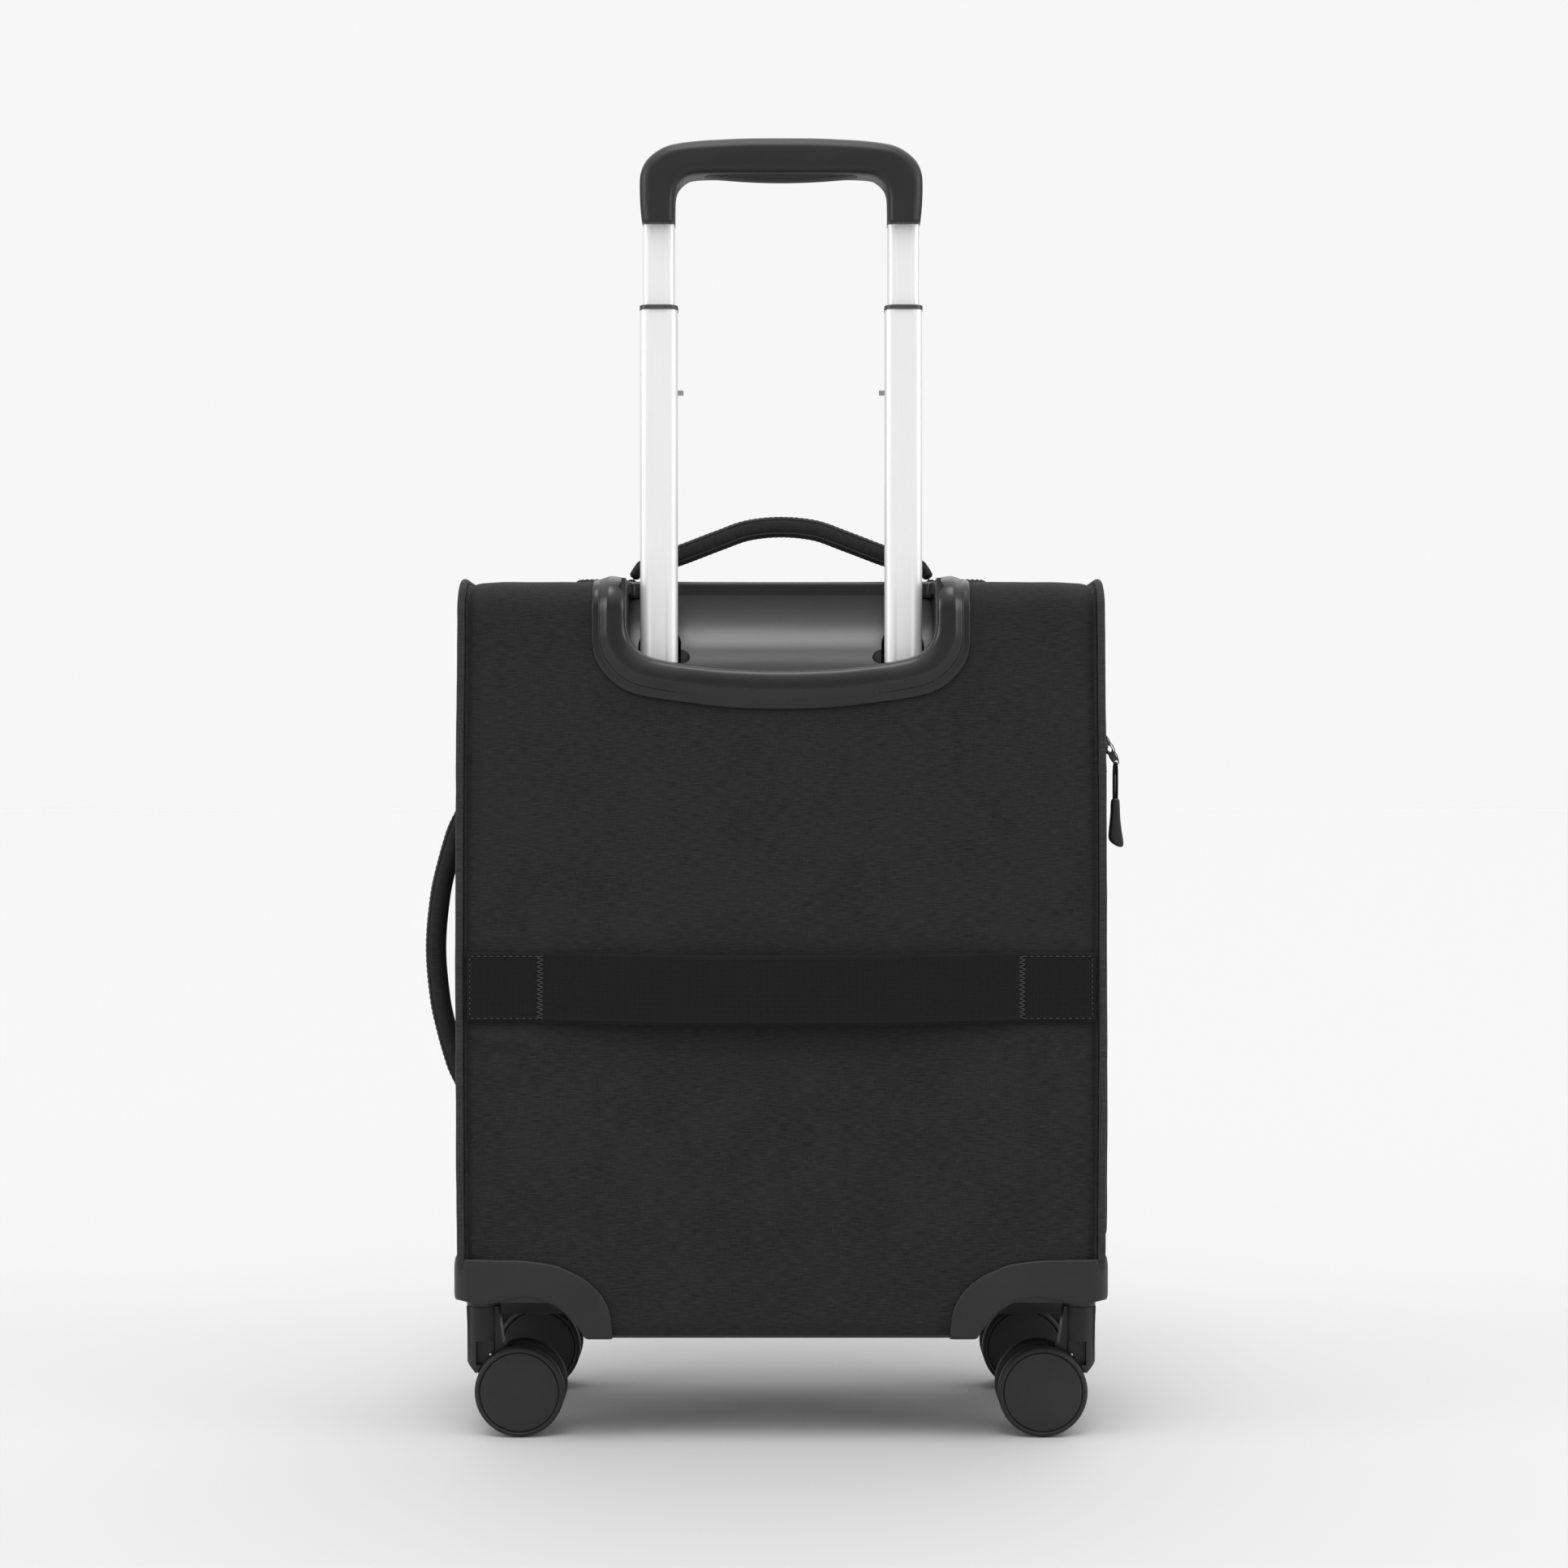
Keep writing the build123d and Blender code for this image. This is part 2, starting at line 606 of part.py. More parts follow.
for name, x, y, trail in CASTERS:
    axle_x = x + trail * CASTER_TRAIL
    with BuildPart() as fork:
        with BuildSketch(Plane.XZ.offset(-y - FORK_ARM / 2)):
            with BuildLine():
                Polyline(
                    (x - trail * 10, FORK_TOP),
                    (x - trail * 8.6, 46),
                    (x - trail * 3, 39),
                    (axle_x - trail * 4, 20.5),
                    (axle_x + trail * 4, 20.5),
                    (axle_x + trail * 8.5, 29),
                    (axle_x + trail * 5, 37),
                    (x + trail * 13, 58),
                    (x + trail * 10, FORK_TOP),
                    close=True,
                )
            make_face()
        extrude(amount=FORK_ARM)
        soft = [e for e in fork.edges().filter_by(Axis.Y) if e.center().Z < 60]
        fillet(soft, radius=3)
        with Locations((x, y, STEM_FOOT)):
            Cylinder(STEM_R, FORK_TOP - STEM_FOOT, align=(Align.CENTER, Align.CENTER, Align.MIN))
        # the stem's foot is cut on a slant outside, and hollowed round both wheels
        with Locations(Location((x - trail * STEM_R, y, STEM_FOOT), (0, trail * 45, 0))):
            Box(9, 3 * STEM_R, 9, mode=Mode.SUBTRACT)
        for face in (-1, 1):
            with Locations((axle_x, y + face * (FORK_ARM / 2 + 10), WHEEL_R)):
                Cylinder(WHEEL_R + 1, 20, rotation=(90, 0, 0), mode=Mode.SUBTRACT)
            with Locations((x + trail * 2, y + face * STEM_R, 52)):
                Box(11, 9, 15, mode=Mode.SUBTRACT)
        with Locations((x, y, FORK_TOP)):
            Cylinder(PIN_R, 6, align=(Align.CENTER, Align.CENTER, Align.MIN))
        with Locations((axle_x, y, WHEEL_R)):
            Cylinder(AXLE_R + 0.05, 40, rotation=(90, 0, 0), mode=Mode.SUBTRACT)
    save(fork, f"caster_fork_{name}")

    tyre_middle = FORK_ARM / 2 + TREAD_GAP + TYRE_WIDTH / 2
    with BuildPart() as hubs:
        for face in (-1, 1):
            with Locations((axle_x, y + face * tyre_middle, WHEEL_R)):
                Cylinder(0.885 * WHEEL_R - 0.5, TYRE_WIDTH - 1.2, rotation=(90, 0, 0))
        with Locations((axle_x, y, WHEEL_R)):
            Cylinder(AXLE_R, 2 * tyre_middle, rotation=(90, 0, 0))
    save(hubs, f"wheel_hubs_{name}")

    with BuildPart() as tyres:
        for face in (-1, 1):
            with BuildSketch(Plane.XY):
                with Locations((0.885 * WHEEL_R + 0.057 * WHEEL_R, face * tyre_middle)):
                    RectangleRounded(0.114 * WHEEL_R, TYRE_WIDTH, 1.5)
        revolve(axis=Axis.Y)
        tyres.part = tyres.part.moved(Location((axle_x, y, WHEEL_R)))
    save(tyres, f"wheel_tyres_{name}")

# ---- luggage strap ------------------------------------------------------------------
with BuildPart() as back_strap:
    with BuildSketch(Plane.XY.offset(STRAP_LOW)):
        with BuildLine():
            near = BACK_Y + 0.2
            far = near + STRAP_T
            Line((-PANEL_HALF, far), (-STRAP_SEWN_X, far))
            ThreePointArc((-STRAP_SEWN_X, far), (0, STRAP_STAND), (STRAP_SEWN_X, far))
            Line((STRAP_SEWN_X, far), (PANEL_HALF, far))
            Line((PANEL_HALF, far), (PANEL_HALF, near))
            Line((PANEL_HALF, near), (STRAP_SEWN_X, near))
            ThreePointArc(
                (STRAP_SEWN_X, near), (0, STRAP_STAND - STRAP_T), (-STRAP_SEWN_X, near)
            )
            Line((-STRAP_SEWN_X, near), (-PANEL_HALF, near))
            Line((-PANEL_HALF, near), (-PANEL_HALF, far))
        make_face()
    extrude(amount=STRAP_WIDTH)
save(back_strap, "back_strap")

# ---- carry handles ------------------------------------------------------------------
TOP_HINGE_Z = CASE_HEIGHT + HANDLE_R + 1.2
KNEE_X = 88                # where the handle turns from its feet into its arch
KNEE_Z = 555
ANCHOR_WIDTH = 30
ANCHOR_T = 4.6
ANCHOR_R = 8
with BuildPart() as top_handle:
    with BuildLine(Plane.XZ.offset(-HANDLE_Y)) as route:
        FilletPolyline(
            (-96.5, TOP_HINGE_Z - 1),
            (-KNEE_X, KNEE_Z),
            (0, 591.5),
            (KNEE_X, KNEE_Z),
            (96.5, TOP_HINGE_Z - 1),
            radius=(9, 117, 9),
        )
    with BuildSketch(Plane(origin=route.line @ 0, z_dir=route.line % 0)):
        Circle(HANDLE_R)
    sweep()
save(top_handle, "top_handle")

with BuildPart() as top_handle_anchors:
    for side in (-1, 1):
        with BuildSketch(Plane.XY.offset(CASE_HEIGHT + 0.2)):
            with Locations((side * 119, HANDLE_Y)):
                RectangleRounded(38, ANCHOR_WIDTH, ANCHOR_R)
        extrude(amount=ANCHOR_T)
    fillet(top_handle_anchors.faces().sort_by(Axis.Z)[-2:].edges(), radius=2)
save(top_handle_anchors, "top_handle_anchors")

SIDE_HANDLE_MID = 306
SIDE_HANDLE_REACH = 91
SIDE_HANDLE_FOOT_X = HALF_WIDTH + HANDLE_R + 0.4
SIDE_HANDLE_X = 226.4
with BuildPart() as side_handle:
    with BuildLine(Plane.XZ.offset(-HANDLE_Y)) as route:
        ThreePointArc(
            (SIDE_HANDLE_FOOT_X, SIDE_HANDLE_MID - SIDE_HANDLE_REACH),
            (SIDE_HANDLE_X, SIDE_HANDLE_MID),
            (SIDE_HANDLE_FOOT_X, SIDE_HANDLE_MID + SIDE_HANDLE_REACH),
        )
    with BuildSketch(Plane(origin=route.line @ 0, z_dir=route.line % 0)):
        Circle(HANDLE_R - 0.1)
    sweep()
save(side_handle, "side_handle")

with BuildPart() as side_handle_anchors:
    for end in (-1, 1):
        with BuildSketch(Plane.YZ.offset(HALF_WIDTH + 0.2)):
            with Locations((HANDLE_Y, SIDE_HANDLE_MID + end * (SIDE_HANDLE_REACH + 22.5))):
                RectangleRounded(ANCHOR_WIDTH, 36, ANCHOR_R)
        extrude(amount=ANCHOR_T)
    fillet(side_handle_anchors.faces().sort_by(Axis.X)[-2:].edges(), radius=2)
save(side_handle_anchors, "side_handle_anchors")

# ---- side pocket and its zip --------------------------------------------------------
POCKET_TOP = 445
POCKET_BOTTOM = 124
POCKET_OUT = HALF_WIDTH + 6
POCKET_BACK_Y = 78
POCKET_FRONT_Y = -50
with BuildPart() as side_pocket:
    with BuildSketch(Plane.XZ.offset(-POCKET_BACK_Y)):
        with BuildLine():
            Polyline(
                (-HALF_WIDTH - 0.2, POCKET_BOTTOM),
                (-HALF_WIDTH - 0.2, POCKET_TOP),
                (-POCKET_OUT, POCKET_TOP - 17),
                (-POCKET_OUT, POCKET_BOTTOM + 6),
                close=True,
            )
        make_face()
    extrude(amount=POCKET_BACK_Y - POCKET_FRONT_Y)
    ends = [
        e for e in side_pocket.edges()
        if abs(e.center().X + POCKET_OUT) < 0.1 and abs(e.center().Z - 280) < 60
    ]
    fillet(ends, radius=4)
save(side_pocket, "side_pocket")

MOUTH_SLOPE = 17           # height over which the pocket's mouth slopes in to the side
SIDE_ZIP_LENGTH = 116
ZIP_SLOPE = atan2(POCKET_OUT - HALF_WIDTH, MOUTH_SLOPE)
zip_face = Plane(
    origin=(-HALF_WIDTH - 3.3, HANDLE_Y, POCKET_TOP - 8.5),
    x_dir=(0, 1, 0),
    z_dir=(-cos(ZIP_SLOPE), 0, sin(ZIP_SLOPE)),
)
with BuildPart() as side_pocket_zip:
    with BuildSketch(zip_face.offset(0.3)):
        Rectangle(SIDE_ZIP_LENGTH, 12)
    extrude(amount=0.7)
    with BuildSketch(zip_face.offset(1.0)):
        Rectangle(SIDE_ZIP_LENGTH, 4.4)
    extrude(amount=1.1)
save(side_pocket_zip, "side_pocket_zip")

with BuildPart() as side_pocket_slider:
    with BuildSketch(zip_face.offset(2.4)):
        RectangleRounded(11, 9, 3)
    extrude(amount=2.2)
    with BuildSketch(zip_face.offset(4.6)):
        RectangleRounded(8, 3, 1.2)
    extrude(amount=2.6)
save(side_pocket_slider, "side_pocket_slider")

LINK_TOP = (-211.3, 444.6)
LINK_END = (-219.4, 427.2)
with BuildPart() as side_pocket_link:
    # flat metal link that stands off the slider
    with BuildSketch(Plane.XZ.offset(-HANDLE_Y - 1)):
        SlotCenterPoint(
            center=((LINK_TOP[0] + LINK_END[0]) / 2, (LINK_TOP[1] + LINK_END[1]) / 2),
            point=LINK_END,
            height=4.6,
        )
    extrude(amount=2)
save(side_pocket_link, "side_pocket_link")

with BuildPart() as side_pocket_pull:
    # cord through the end of the link, and a moulded tab
    with Locations((LINK_END[0] + 0.2, HANDLE_Y, 413)):
        Box(2, 1.9, 22.4)
    with BuildSketch(Plane.XZ.offset(-HANDLE_Y - 4)):
        with BuildLine():
            Polyline(
                (-214.6, 403.7),
                (-220.4, 403.7),
                (-220.9, 388),
                (-224.6, 371.2),
                (-215, 374.3),
                (-213.8, 386),
                close=True,
            )
        make_face()
    extrude(amount=8)
save(side_pocket_pull, "side_pocket_pull")

# ---- inside of the case -------------------------------------------------------------
BOARD_Y = 60
with BuildPart() as back_board:
    # board that hides the handle's tubes from the packing space
    with Locations((0, BOARD_Y - 1, (TRAY_TOP + 2 + SOCKET_Z - 8) / 2)):
        Box(2 * (PANEL_HALF - 2), 2, SOCKET_Z - 8 - TRAY_TOP - 2)
save(back_board, "back_board")

with BuildPart() as opening_hoop:
    # springy hoop that keeps the mouth of the case square
    with BuildLine() as hoop:
        FilletPolyline(
            (PANEL_HALF - 3, MOUTH_Y + 8, CASE_HEIGHT - WALL - 3),
            (PANEL_HALF - 3, MOUTH_Y + 8, TRAY_TOP + 4),
            (-PANEL_HALF + 3, MOUTH_Y + 8, TRAY_TOP + 4),
            (-PANEL_HALF + 3, MOUTH_Y + 8, CASE_HEIGHT - WALL - 3),
            radius=18,
            close=True,
        )
    with BuildSketch(Plane(origin=hoop.line @ 0, z_dir=hoop.line % 0)):
        Circle(2)
    sweep()
save(opening_hoop, "opening_hoop")

PACK_STRAPS = (200, 390)
with BuildPart() as packing_straps:
    for z in PACK_STRAPS:
        with Locations((0, BOARD_Y - 3.2, z)):
            Box(2 * PANEL_HALF - 8, 1.4, 25)
save(packing_straps, "packing_straps")

with BuildPart() as strap_buckles:
    for z in PACK_STRAPS:
        with BuildSketch(Plane.XZ.offset(-BOARD_Y + 4.1)):
            with Locations((0, z)):
                RectangleRounded(46, 32, 6)
        extrude(amount=7)
save(strap_buckles, "strap_buckles")

# ---- lid ----------------------------------------------------------------------------
LID_BACK = MOUTH_Y - LID_GAP
LID_FACE = LID_BACK - LID_DEPTH + 1
LID_TOP = CASE_HEIGHT - 1
with BuildPart() as front_lid:
    with BuildSketch(Plane.XZ.offset(-LID_BACK)):
        with Locations((0, (LID_BOTTOM + LID_TOP) / 2)):
            RectangleRounded(2 * LID_HALF, LID_TOP - LID_BOTTOM, 12)
    extrude(amount=LID_BACK - LID_FACE)
    fillet(front_lid.faces().sort_by(Axis.Y)[0].edges(), radius=6)
save(front_lid, "front_lid")

POCKET_HALF = 172
POCKET_WALL = 4
POCKETS = (("lower", 138, 386, 27.5), ("upper", 400, 520, 20))  # name, bottom, top, depth
for name, low, high, depth in POCKETS:
    with BuildPart() as pocket:
        with BuildSketch(Plane.XZ.offset(-LID_FACE + 0.3)):
            with Locations((0, (low + high) / 2)):
                RectangleRounded(2 * POCKET_HALF, high - low, 16)
        extrude(amount=depth)
        fillet(pocket.faces().sort_by(Axis.Y)[0].edges(), radius=9)
        with BuildSketch(Plane.XZ.offset(-LID_FACE + 2.3)):
            with Locations((0, (low + high) / 2)):
                RectangleRounded(
                    2 * (POCKET_HALF - POCKET_WALL), high - low - 2 * POCKET_WALL, 12
                )
        extrude(amount=depth - 6, mode=Mode.SUBTRACT)
    save(pocket, f"front_pocket_{name}")

with BuildPart() as pocket_zips:
    for name, low, high, depth in POCKETS:
        with Locations((0, LID_FACE - depth / 2, high + 0.9)):
            Box(290, 8, 1.4)
save(pocket_zips, "pocket_zips")

ZIP_END = 522              # upper end of the tape on each side
TAPE_WIDTH = 9
TAPE_T = 1.4
ZIP_MID_Y = MOUTH_Y + 6
with BuildPart() as main_zip:
    # zip tape round the mouth, sewn to the case on three sides
    for side in (-1, 1):
        with Locations((side * (HALF_WIDTH + 0.9), ZIP_MID_Y, (GUARD_TOP + 3 + ZIP_END) / 2)):
            Box(TAPE_T, TAPE_WIDTH, ZIP_END - GUARD_TOP - 3)
    with Locations((0, ZIP_MID_Y, CASE_HEIGHT + 0.9)):
        Box(2 * PANEL_HALF - 12, TAPE_WIDTH, TAPE_T)
save(main_zip, "main_zip")

for name, z in (("upper", 345), ("lower", 325)):
    with BuildPart() as slider:
        with BuildSketch(Plane.YZ.offset(HALF_WIDTH + 2)):
            with Locations((ZIP_MID_Y, z)):
                RectangleRounded(8, 12, 2.5)
        extrude(amount=3)
    save(slider, f"main_slider_{name}")

# ---- screws -------------------------------------------------------------------------
with BuildPart() as screws:
    # the bezel is screwed on from inside
    for x, z in ((-108, 515), (108, 515), (-60, 470), (60, 470)):
        with Locations((x, BACK_Y - WALL - 1.2, z)):
            Cylinder(3.4, 2, rotation=(90, 0, 0))
save(screws, "screws")
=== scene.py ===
import math

import bpy
import numpy as np
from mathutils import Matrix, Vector, noise


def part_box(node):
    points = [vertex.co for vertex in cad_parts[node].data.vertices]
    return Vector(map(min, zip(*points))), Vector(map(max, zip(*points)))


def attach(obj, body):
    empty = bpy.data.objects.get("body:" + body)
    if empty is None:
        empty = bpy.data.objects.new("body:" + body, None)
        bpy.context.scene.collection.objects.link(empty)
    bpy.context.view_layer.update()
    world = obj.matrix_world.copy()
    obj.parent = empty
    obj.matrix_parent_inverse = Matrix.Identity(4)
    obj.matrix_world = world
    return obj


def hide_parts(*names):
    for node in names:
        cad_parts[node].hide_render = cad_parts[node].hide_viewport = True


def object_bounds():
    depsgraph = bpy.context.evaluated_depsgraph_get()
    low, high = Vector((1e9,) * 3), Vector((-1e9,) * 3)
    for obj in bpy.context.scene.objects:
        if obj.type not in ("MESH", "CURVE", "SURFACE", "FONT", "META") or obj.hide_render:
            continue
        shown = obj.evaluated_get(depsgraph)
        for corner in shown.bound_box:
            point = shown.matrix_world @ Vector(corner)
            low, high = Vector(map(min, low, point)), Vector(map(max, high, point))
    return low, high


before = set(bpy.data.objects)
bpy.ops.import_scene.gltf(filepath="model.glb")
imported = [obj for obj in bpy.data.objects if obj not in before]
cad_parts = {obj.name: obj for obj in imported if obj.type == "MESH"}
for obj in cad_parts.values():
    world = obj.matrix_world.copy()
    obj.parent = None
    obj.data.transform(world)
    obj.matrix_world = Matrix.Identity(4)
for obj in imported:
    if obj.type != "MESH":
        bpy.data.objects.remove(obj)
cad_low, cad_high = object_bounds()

MM = 0.001
TAU = 2 * math.pi


# ---- small helpers ------------------------------------------------------------------
def limits(node):
    """Lowest and highest corner of a CAD node, in millimetres."""
    low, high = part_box(node)
    return [c / MM for c in low], [c / MM for c in high]


def smooth(a, b, x):
    """0 below a, 1 above b, and a soft step between."""
    t = np.clip((np.asarray(x, float) - a) / (b - a), 0, 1)
    return t * t * (3 - 2 * t)


def noisy(points, scale, seed=0.0):
    """Smooth noise of about -1 to 1 at each point, which is in millimetres."""
    flat = np.asarray(points, float).reshape(-1, 3)
    shift = Vector((seed * 17.3, seed * 5.1, seed * 9.7))
    made = [noise.noise(Vector(p) * scale + shift) for p in flat]
    return np.array(made).reshape(np.asarray(points).shape[:-1])


def distances(points):
    """How far along a line each of its points lies."""
    return np.r_[0, np.cumsum(np.linalg.norm(np.diff(points, axis=0), axis=1))]


def walk(points, run, at):
    """The places at given distances along a line whose own points lie at run."""
    return np.stack([np.interp(at, run, points[:, k]) for k in range(points.shape[1])], -1)


def curve_through(points, count, closed=False):
    """Points at even distances on a smooth curve through the given ones."""
    p = np.array(points, float)
    n = len(p)
    if closed:
        ring = np.vstack([p[-1], p, p[0], p[1]])
        spans = n
    else:
        ring = np.vstack([2 * p[0] - p[1], p, 2 * p[-1] - p[-2]])
        spans = n - 1
    fine = []
    for i in range(spans):
        a, b, c, d = ring[i], ring[i + 1], ring[i + 2], ring[i + 3]
        t = np.linspace(0, 1, 24, endpoint=False)[:, None]
        fine.append(0.5 * (2 * b + (c - a) * t + (2 * a - 5 * b + 4 * c - d) * t**2
                           + (3 * b - a - 3 * c + d) * t**3))
    fine.append(p[:1] if closed else p[-1:])
    fine = np.vstack(fine)
    run = distances(fine)
    return walk(fine, run, np.linspace(0, run[-1], count, endpoint=not closed))


def even_polyline(points, count):
    """Points at even distances on a closed polyline, which can't overshoot a corner."""
    p = np.array([*points, points[0]], float)
    run = distances(p)
    return walk(p, run, np.linspace(0, run[-1], count, endpoint=False))


def track(x, y, z):
    """Points with these coordinates, any of which may be one number for them all."""
    return np.stack(np.broadcast_arrays(x, y, z), -1)


def piece(name, verts, faces, body, material, slot, uv=None, replaces=(), lining=None):
    """A mesh object from millimetre points that rides on a CAD body."""
    mesh = bpy.data.meshes.new(name)
    mesh.from_pydata([tuple(v) for v in (np.asarray(verts, float) * MM)], [], [tuple(f) for f in faces])
    if uv is not None:
        layer = mesh.uv_layers.new(name="cloth")
        layer.data.foreach_set("uv", np.asarray(uv, np.float32).ravel())
    mesh.materials.append(material)
    if lining:
        mesh.materials.append(lining)
    mesh.shade_smooth()
    mesh.update()
    obj = bpy.data.objects.new(name, mesh)
    bpy.context.scene.collection.objects.link(obj)
    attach(obj, body)
    if replaces:
        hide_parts(*replaces)
    return obj


def grid(name, points, body, material, slot, wrap=False, loop=False, caps=False, hole=None, thick=0.0,
         flip=False, subdivide=0, **more):
    """A sheet of quads through rows and columns of points, with its cloth coordinates in millimetres.
    wrap joins the last column to the first, and loop the last row."""
    p = np.asarray(points, float)
    rows, cols = p.shape[:2]
    ahead = np.concatenate([p, p[:, :1]], 1) if wrap else p
    round_rows = np.concatenate([p, p[:1]], 0) if loop else p
    u = np.r_[0, np.cumsum(np.linalg.norm(np.diff(ahead, axis=1), axis=2).mean(0))]
    v = np.r_[0, np.cumsum(np.linalg.norm(np.diff(round_rows, axis=0), axis=2).mean(1))]
    faces, uv = [], []
    for i in range(rows if loop else rows - 1):
        low = (i + 1) % rows * cols
        for j in range(cols if wrap else cols - 1):
            if hole is not None and hole(i, j):
                continue
            k = (j + 1) % cols
            quad = [i * cols + j, i * cols + k, low + k, low + j]
            at = [(u[j], v[i]), (u[j + 1], v[i]), (u[j + 1], v[i + 1]), (u[j], v[i + 1])]
            if flip:
                quad.reverse()
                at.reverse()
            faces.append(quad)
            uv += at
    if caps:
        first, last = list(range(cols)), [(rows - 1) * cols + j for j in range(cols)]
        for ring, back in ((first, True), (last, False)):
            if back != flip:
                ring = ring[::-1]
            faces.append(ring)
            uv += [(0, 0)] * cols
    used = sorted({i for f in faces for i in f})
    new = {old: n for n, old in enumerate(used)}
    flat = p.reshape(-1, 3)[used]
    faces = [[new[i] for i in f] for f in faces]
    obj = piece(name, flat, faces, body, material, slot, uv=uv, **more)
    if caps:
        obj.data.set_sharp_from_angle(angle=math.radians(60))
    if thick:
        solid = obj.modifiers.new("thickness", "SOLIDIFY")
        solid.thickness = thick * MM
        solid.offset = -1
        if more.get("lining"):
            solid.material_offset = 1
            solid.material_offset_rim = 0
    if subdivide:
        sub = obj.modifiers.new("soft", "SUBSURF")
        sub.levels = sub.render_levels = subdivide
    return obj


def tube_rows(path, section, out, scale=None, closed=False):
    """Rows of points round a path. section is (along out, across) in millimetres."""
    path = np.asarray(path, float)
    if closed:
        tangent = np.roll(path, -1, 0) - np.roll(path, 1, 0)
    else:
        tangent = np.gradient(path, axis=0)
    tangent /= np.linalg.norm(tangent, axis=1)[:, None]
    rows = []
    for i, (c, t) in enumerate(zip(path, tangent)):
        o = np.asarray(out(c) if callable(out) else out, float)
        o = o - t * (o @ t)
        o /= np.linalg.norm(o)
        side = np.cross(t, o)
        k = (1, 1) if scale is None else scale[i]
        rows.append([c + o * a * k[0] + side * b * k[1] for a, b in section])
    return np.array(rows)


def round_section(a, b, count=16, power=2.0):
    """Closed outline with half sizes a and b: an ellipse, or squarer with a higher power."""
    t = np.arange(count) / count * TAU
    c, s = np.cos(t), np.sin(t)
    return [(a * math.copysign(abs(x) ** (2 / power), x), b * math.copysign(abs(y) ** (2 / power), y))
            for x, y in zip(c, s)]


def bead_template(sides=6, rings=5):
    """Unit bead: a low ball, points and faces."""
    pts = [(-1, 0, 0)]
    for i in range(1, rings):
        a = math.pi * i / rings
        for j in range(sides):
            b = TAU * j / sides
            pts.append((-math.cos(a), math.sin(a) * math.cos(b), math.sin(a) * math.sin(b)))
    pts.append((1, 0, 0))
    faces = []
    for j in range(sides):
        k = (j + 1) % sides
        faces.append((0, 1 + k, 1 + j))
        for i in range(rings - 2):
            a, b = 1 + i * sides, 1 + (i + 1) * sides
            faces.append((a + j, a + k, b + k, b + j))
        last = 1 + (rings - 2) * sides
        faces.append((last + j, last + k, len(pts) - 1))
    return np.array(pts, float), faces


BEAD = bead_template()


def beads(name, places, body, material, slot, replaces=()):
    """Many small beads, such as stitches or zip teeth. A place is a centre and the vectors of half the length,
    width and height."""
    pts, faces = BEAD
    verts, all_faces = [], []
    for c, a, b, h in places:
        start = len(verts) * len(pts)
        verts.append(np.asarray(c) + pts @ np.array([a, b, h], float))
        way = 1 if np.dot(np.cross(a, b), h) > 0 else -1
        all_faces += [[start + i for i in f[::way]] for f in faces]
    return piece(name, np.vstack(verts), all_faces, body, material, slot, replaces=replaces)


def stitch_run(points, normal, pitch=4.0, length=2.4, radius=0.32):
    """Places for a row of stitches along a line of points."""
    p, n = np.asarray(points, float), np.asarray(normal, float)
    run = distances(p)
    places = []
    count = max(1, int(run[-1] / pitch))
    for k in range(count):
        at = (k + 0.5) * run[-1] / count
        d = walk(p, run, min(at + 1, run[-1])) - walk(p, run, max(at - 1, 0))
        d /= np.linalg.norm(d)
        places.append((walk(p, run, at), d * length / 2, np.cross(d, n) * radius, n * radius))
    return places


def rod(name, path, out, half, body, material, slot, sides=8, scale=None, **more):
    """A rod with closed ends along a path. half is its half size along out and across it."""
    rows = tube_rows(path, round_section(*half, sides), out, scale=scale)
    return grid(name, rows, body, material, slot, wrap=True, caps=True, **more)


def bevel(obj, width):
    """Rounds the sharp edges of a piece."""
    made = obj.modifiers.new("rounded edges", "BEVEL")
    made.width = width * MM
    made.segments = 3
    made.limit_method = "ANGLE"
    made.angle_limit = math.radians(35)
    made.use_clamp_overlap = True


def plate(name, outline, holes, place, thick, body, material, slot, edge=0.4, replaces=()):
    """A flat plate with holes: outline and holes are 2-D points, place turns (a, b, height) into a point."""
    curve = bpy.data.curves.new(name, "CURVE")
    curve.dimensions = "2D"
    curve.fill_mode = "BOTH"
    for ring in [outline, *holes]:
        spline = curve.splines.new("POLY")
        spline.points.add(len(ring) - 1)
        for point, (a, b) in zip(spline.points, ring):
            point.co = (a, b, 0, 1)
        spline.use_cyclic_u = True
    curve.extrude = thick / 2 - edge
    curve.bevel_depth = edge
    curve.bevel_resolution = 2
    curve.offset = -edge
    holder = bpy.data.objects.new(name + "_curve", curve)
    bpy.context.scene.collection.objects.link(holder)
    made = bpy.data.meshes.new_from_object(holder)
    verts = [place(*v.co) for v in made.vertices]
    faces = [list(f.vertices) for f in made.polygons]
    near = np.array(verts, float)
    near -= near.mean(axis=0)
    fans = [(near[f[0]], near[f[i]], near[f[i + 1]]) for f in faces for i in range(1, len(f) - 1)]
    if sum(np.dot(a, np.cross(b, c)) for a, b, c in fans) < 0:
        faces = [f[::-1] for f in faces]
    bpy.data.objects.remove(holder)
    bpy.data.meshes.remove(made)
    obj = piece(name, verts, faces, body, material, slot, replaces=replaces)
    weld = obj.modifiers.new("weld", "WELD")
    weld.merge_threshold = 0.00002
    obj.data.set_sharp_from_angle(angle=math.radians(40))


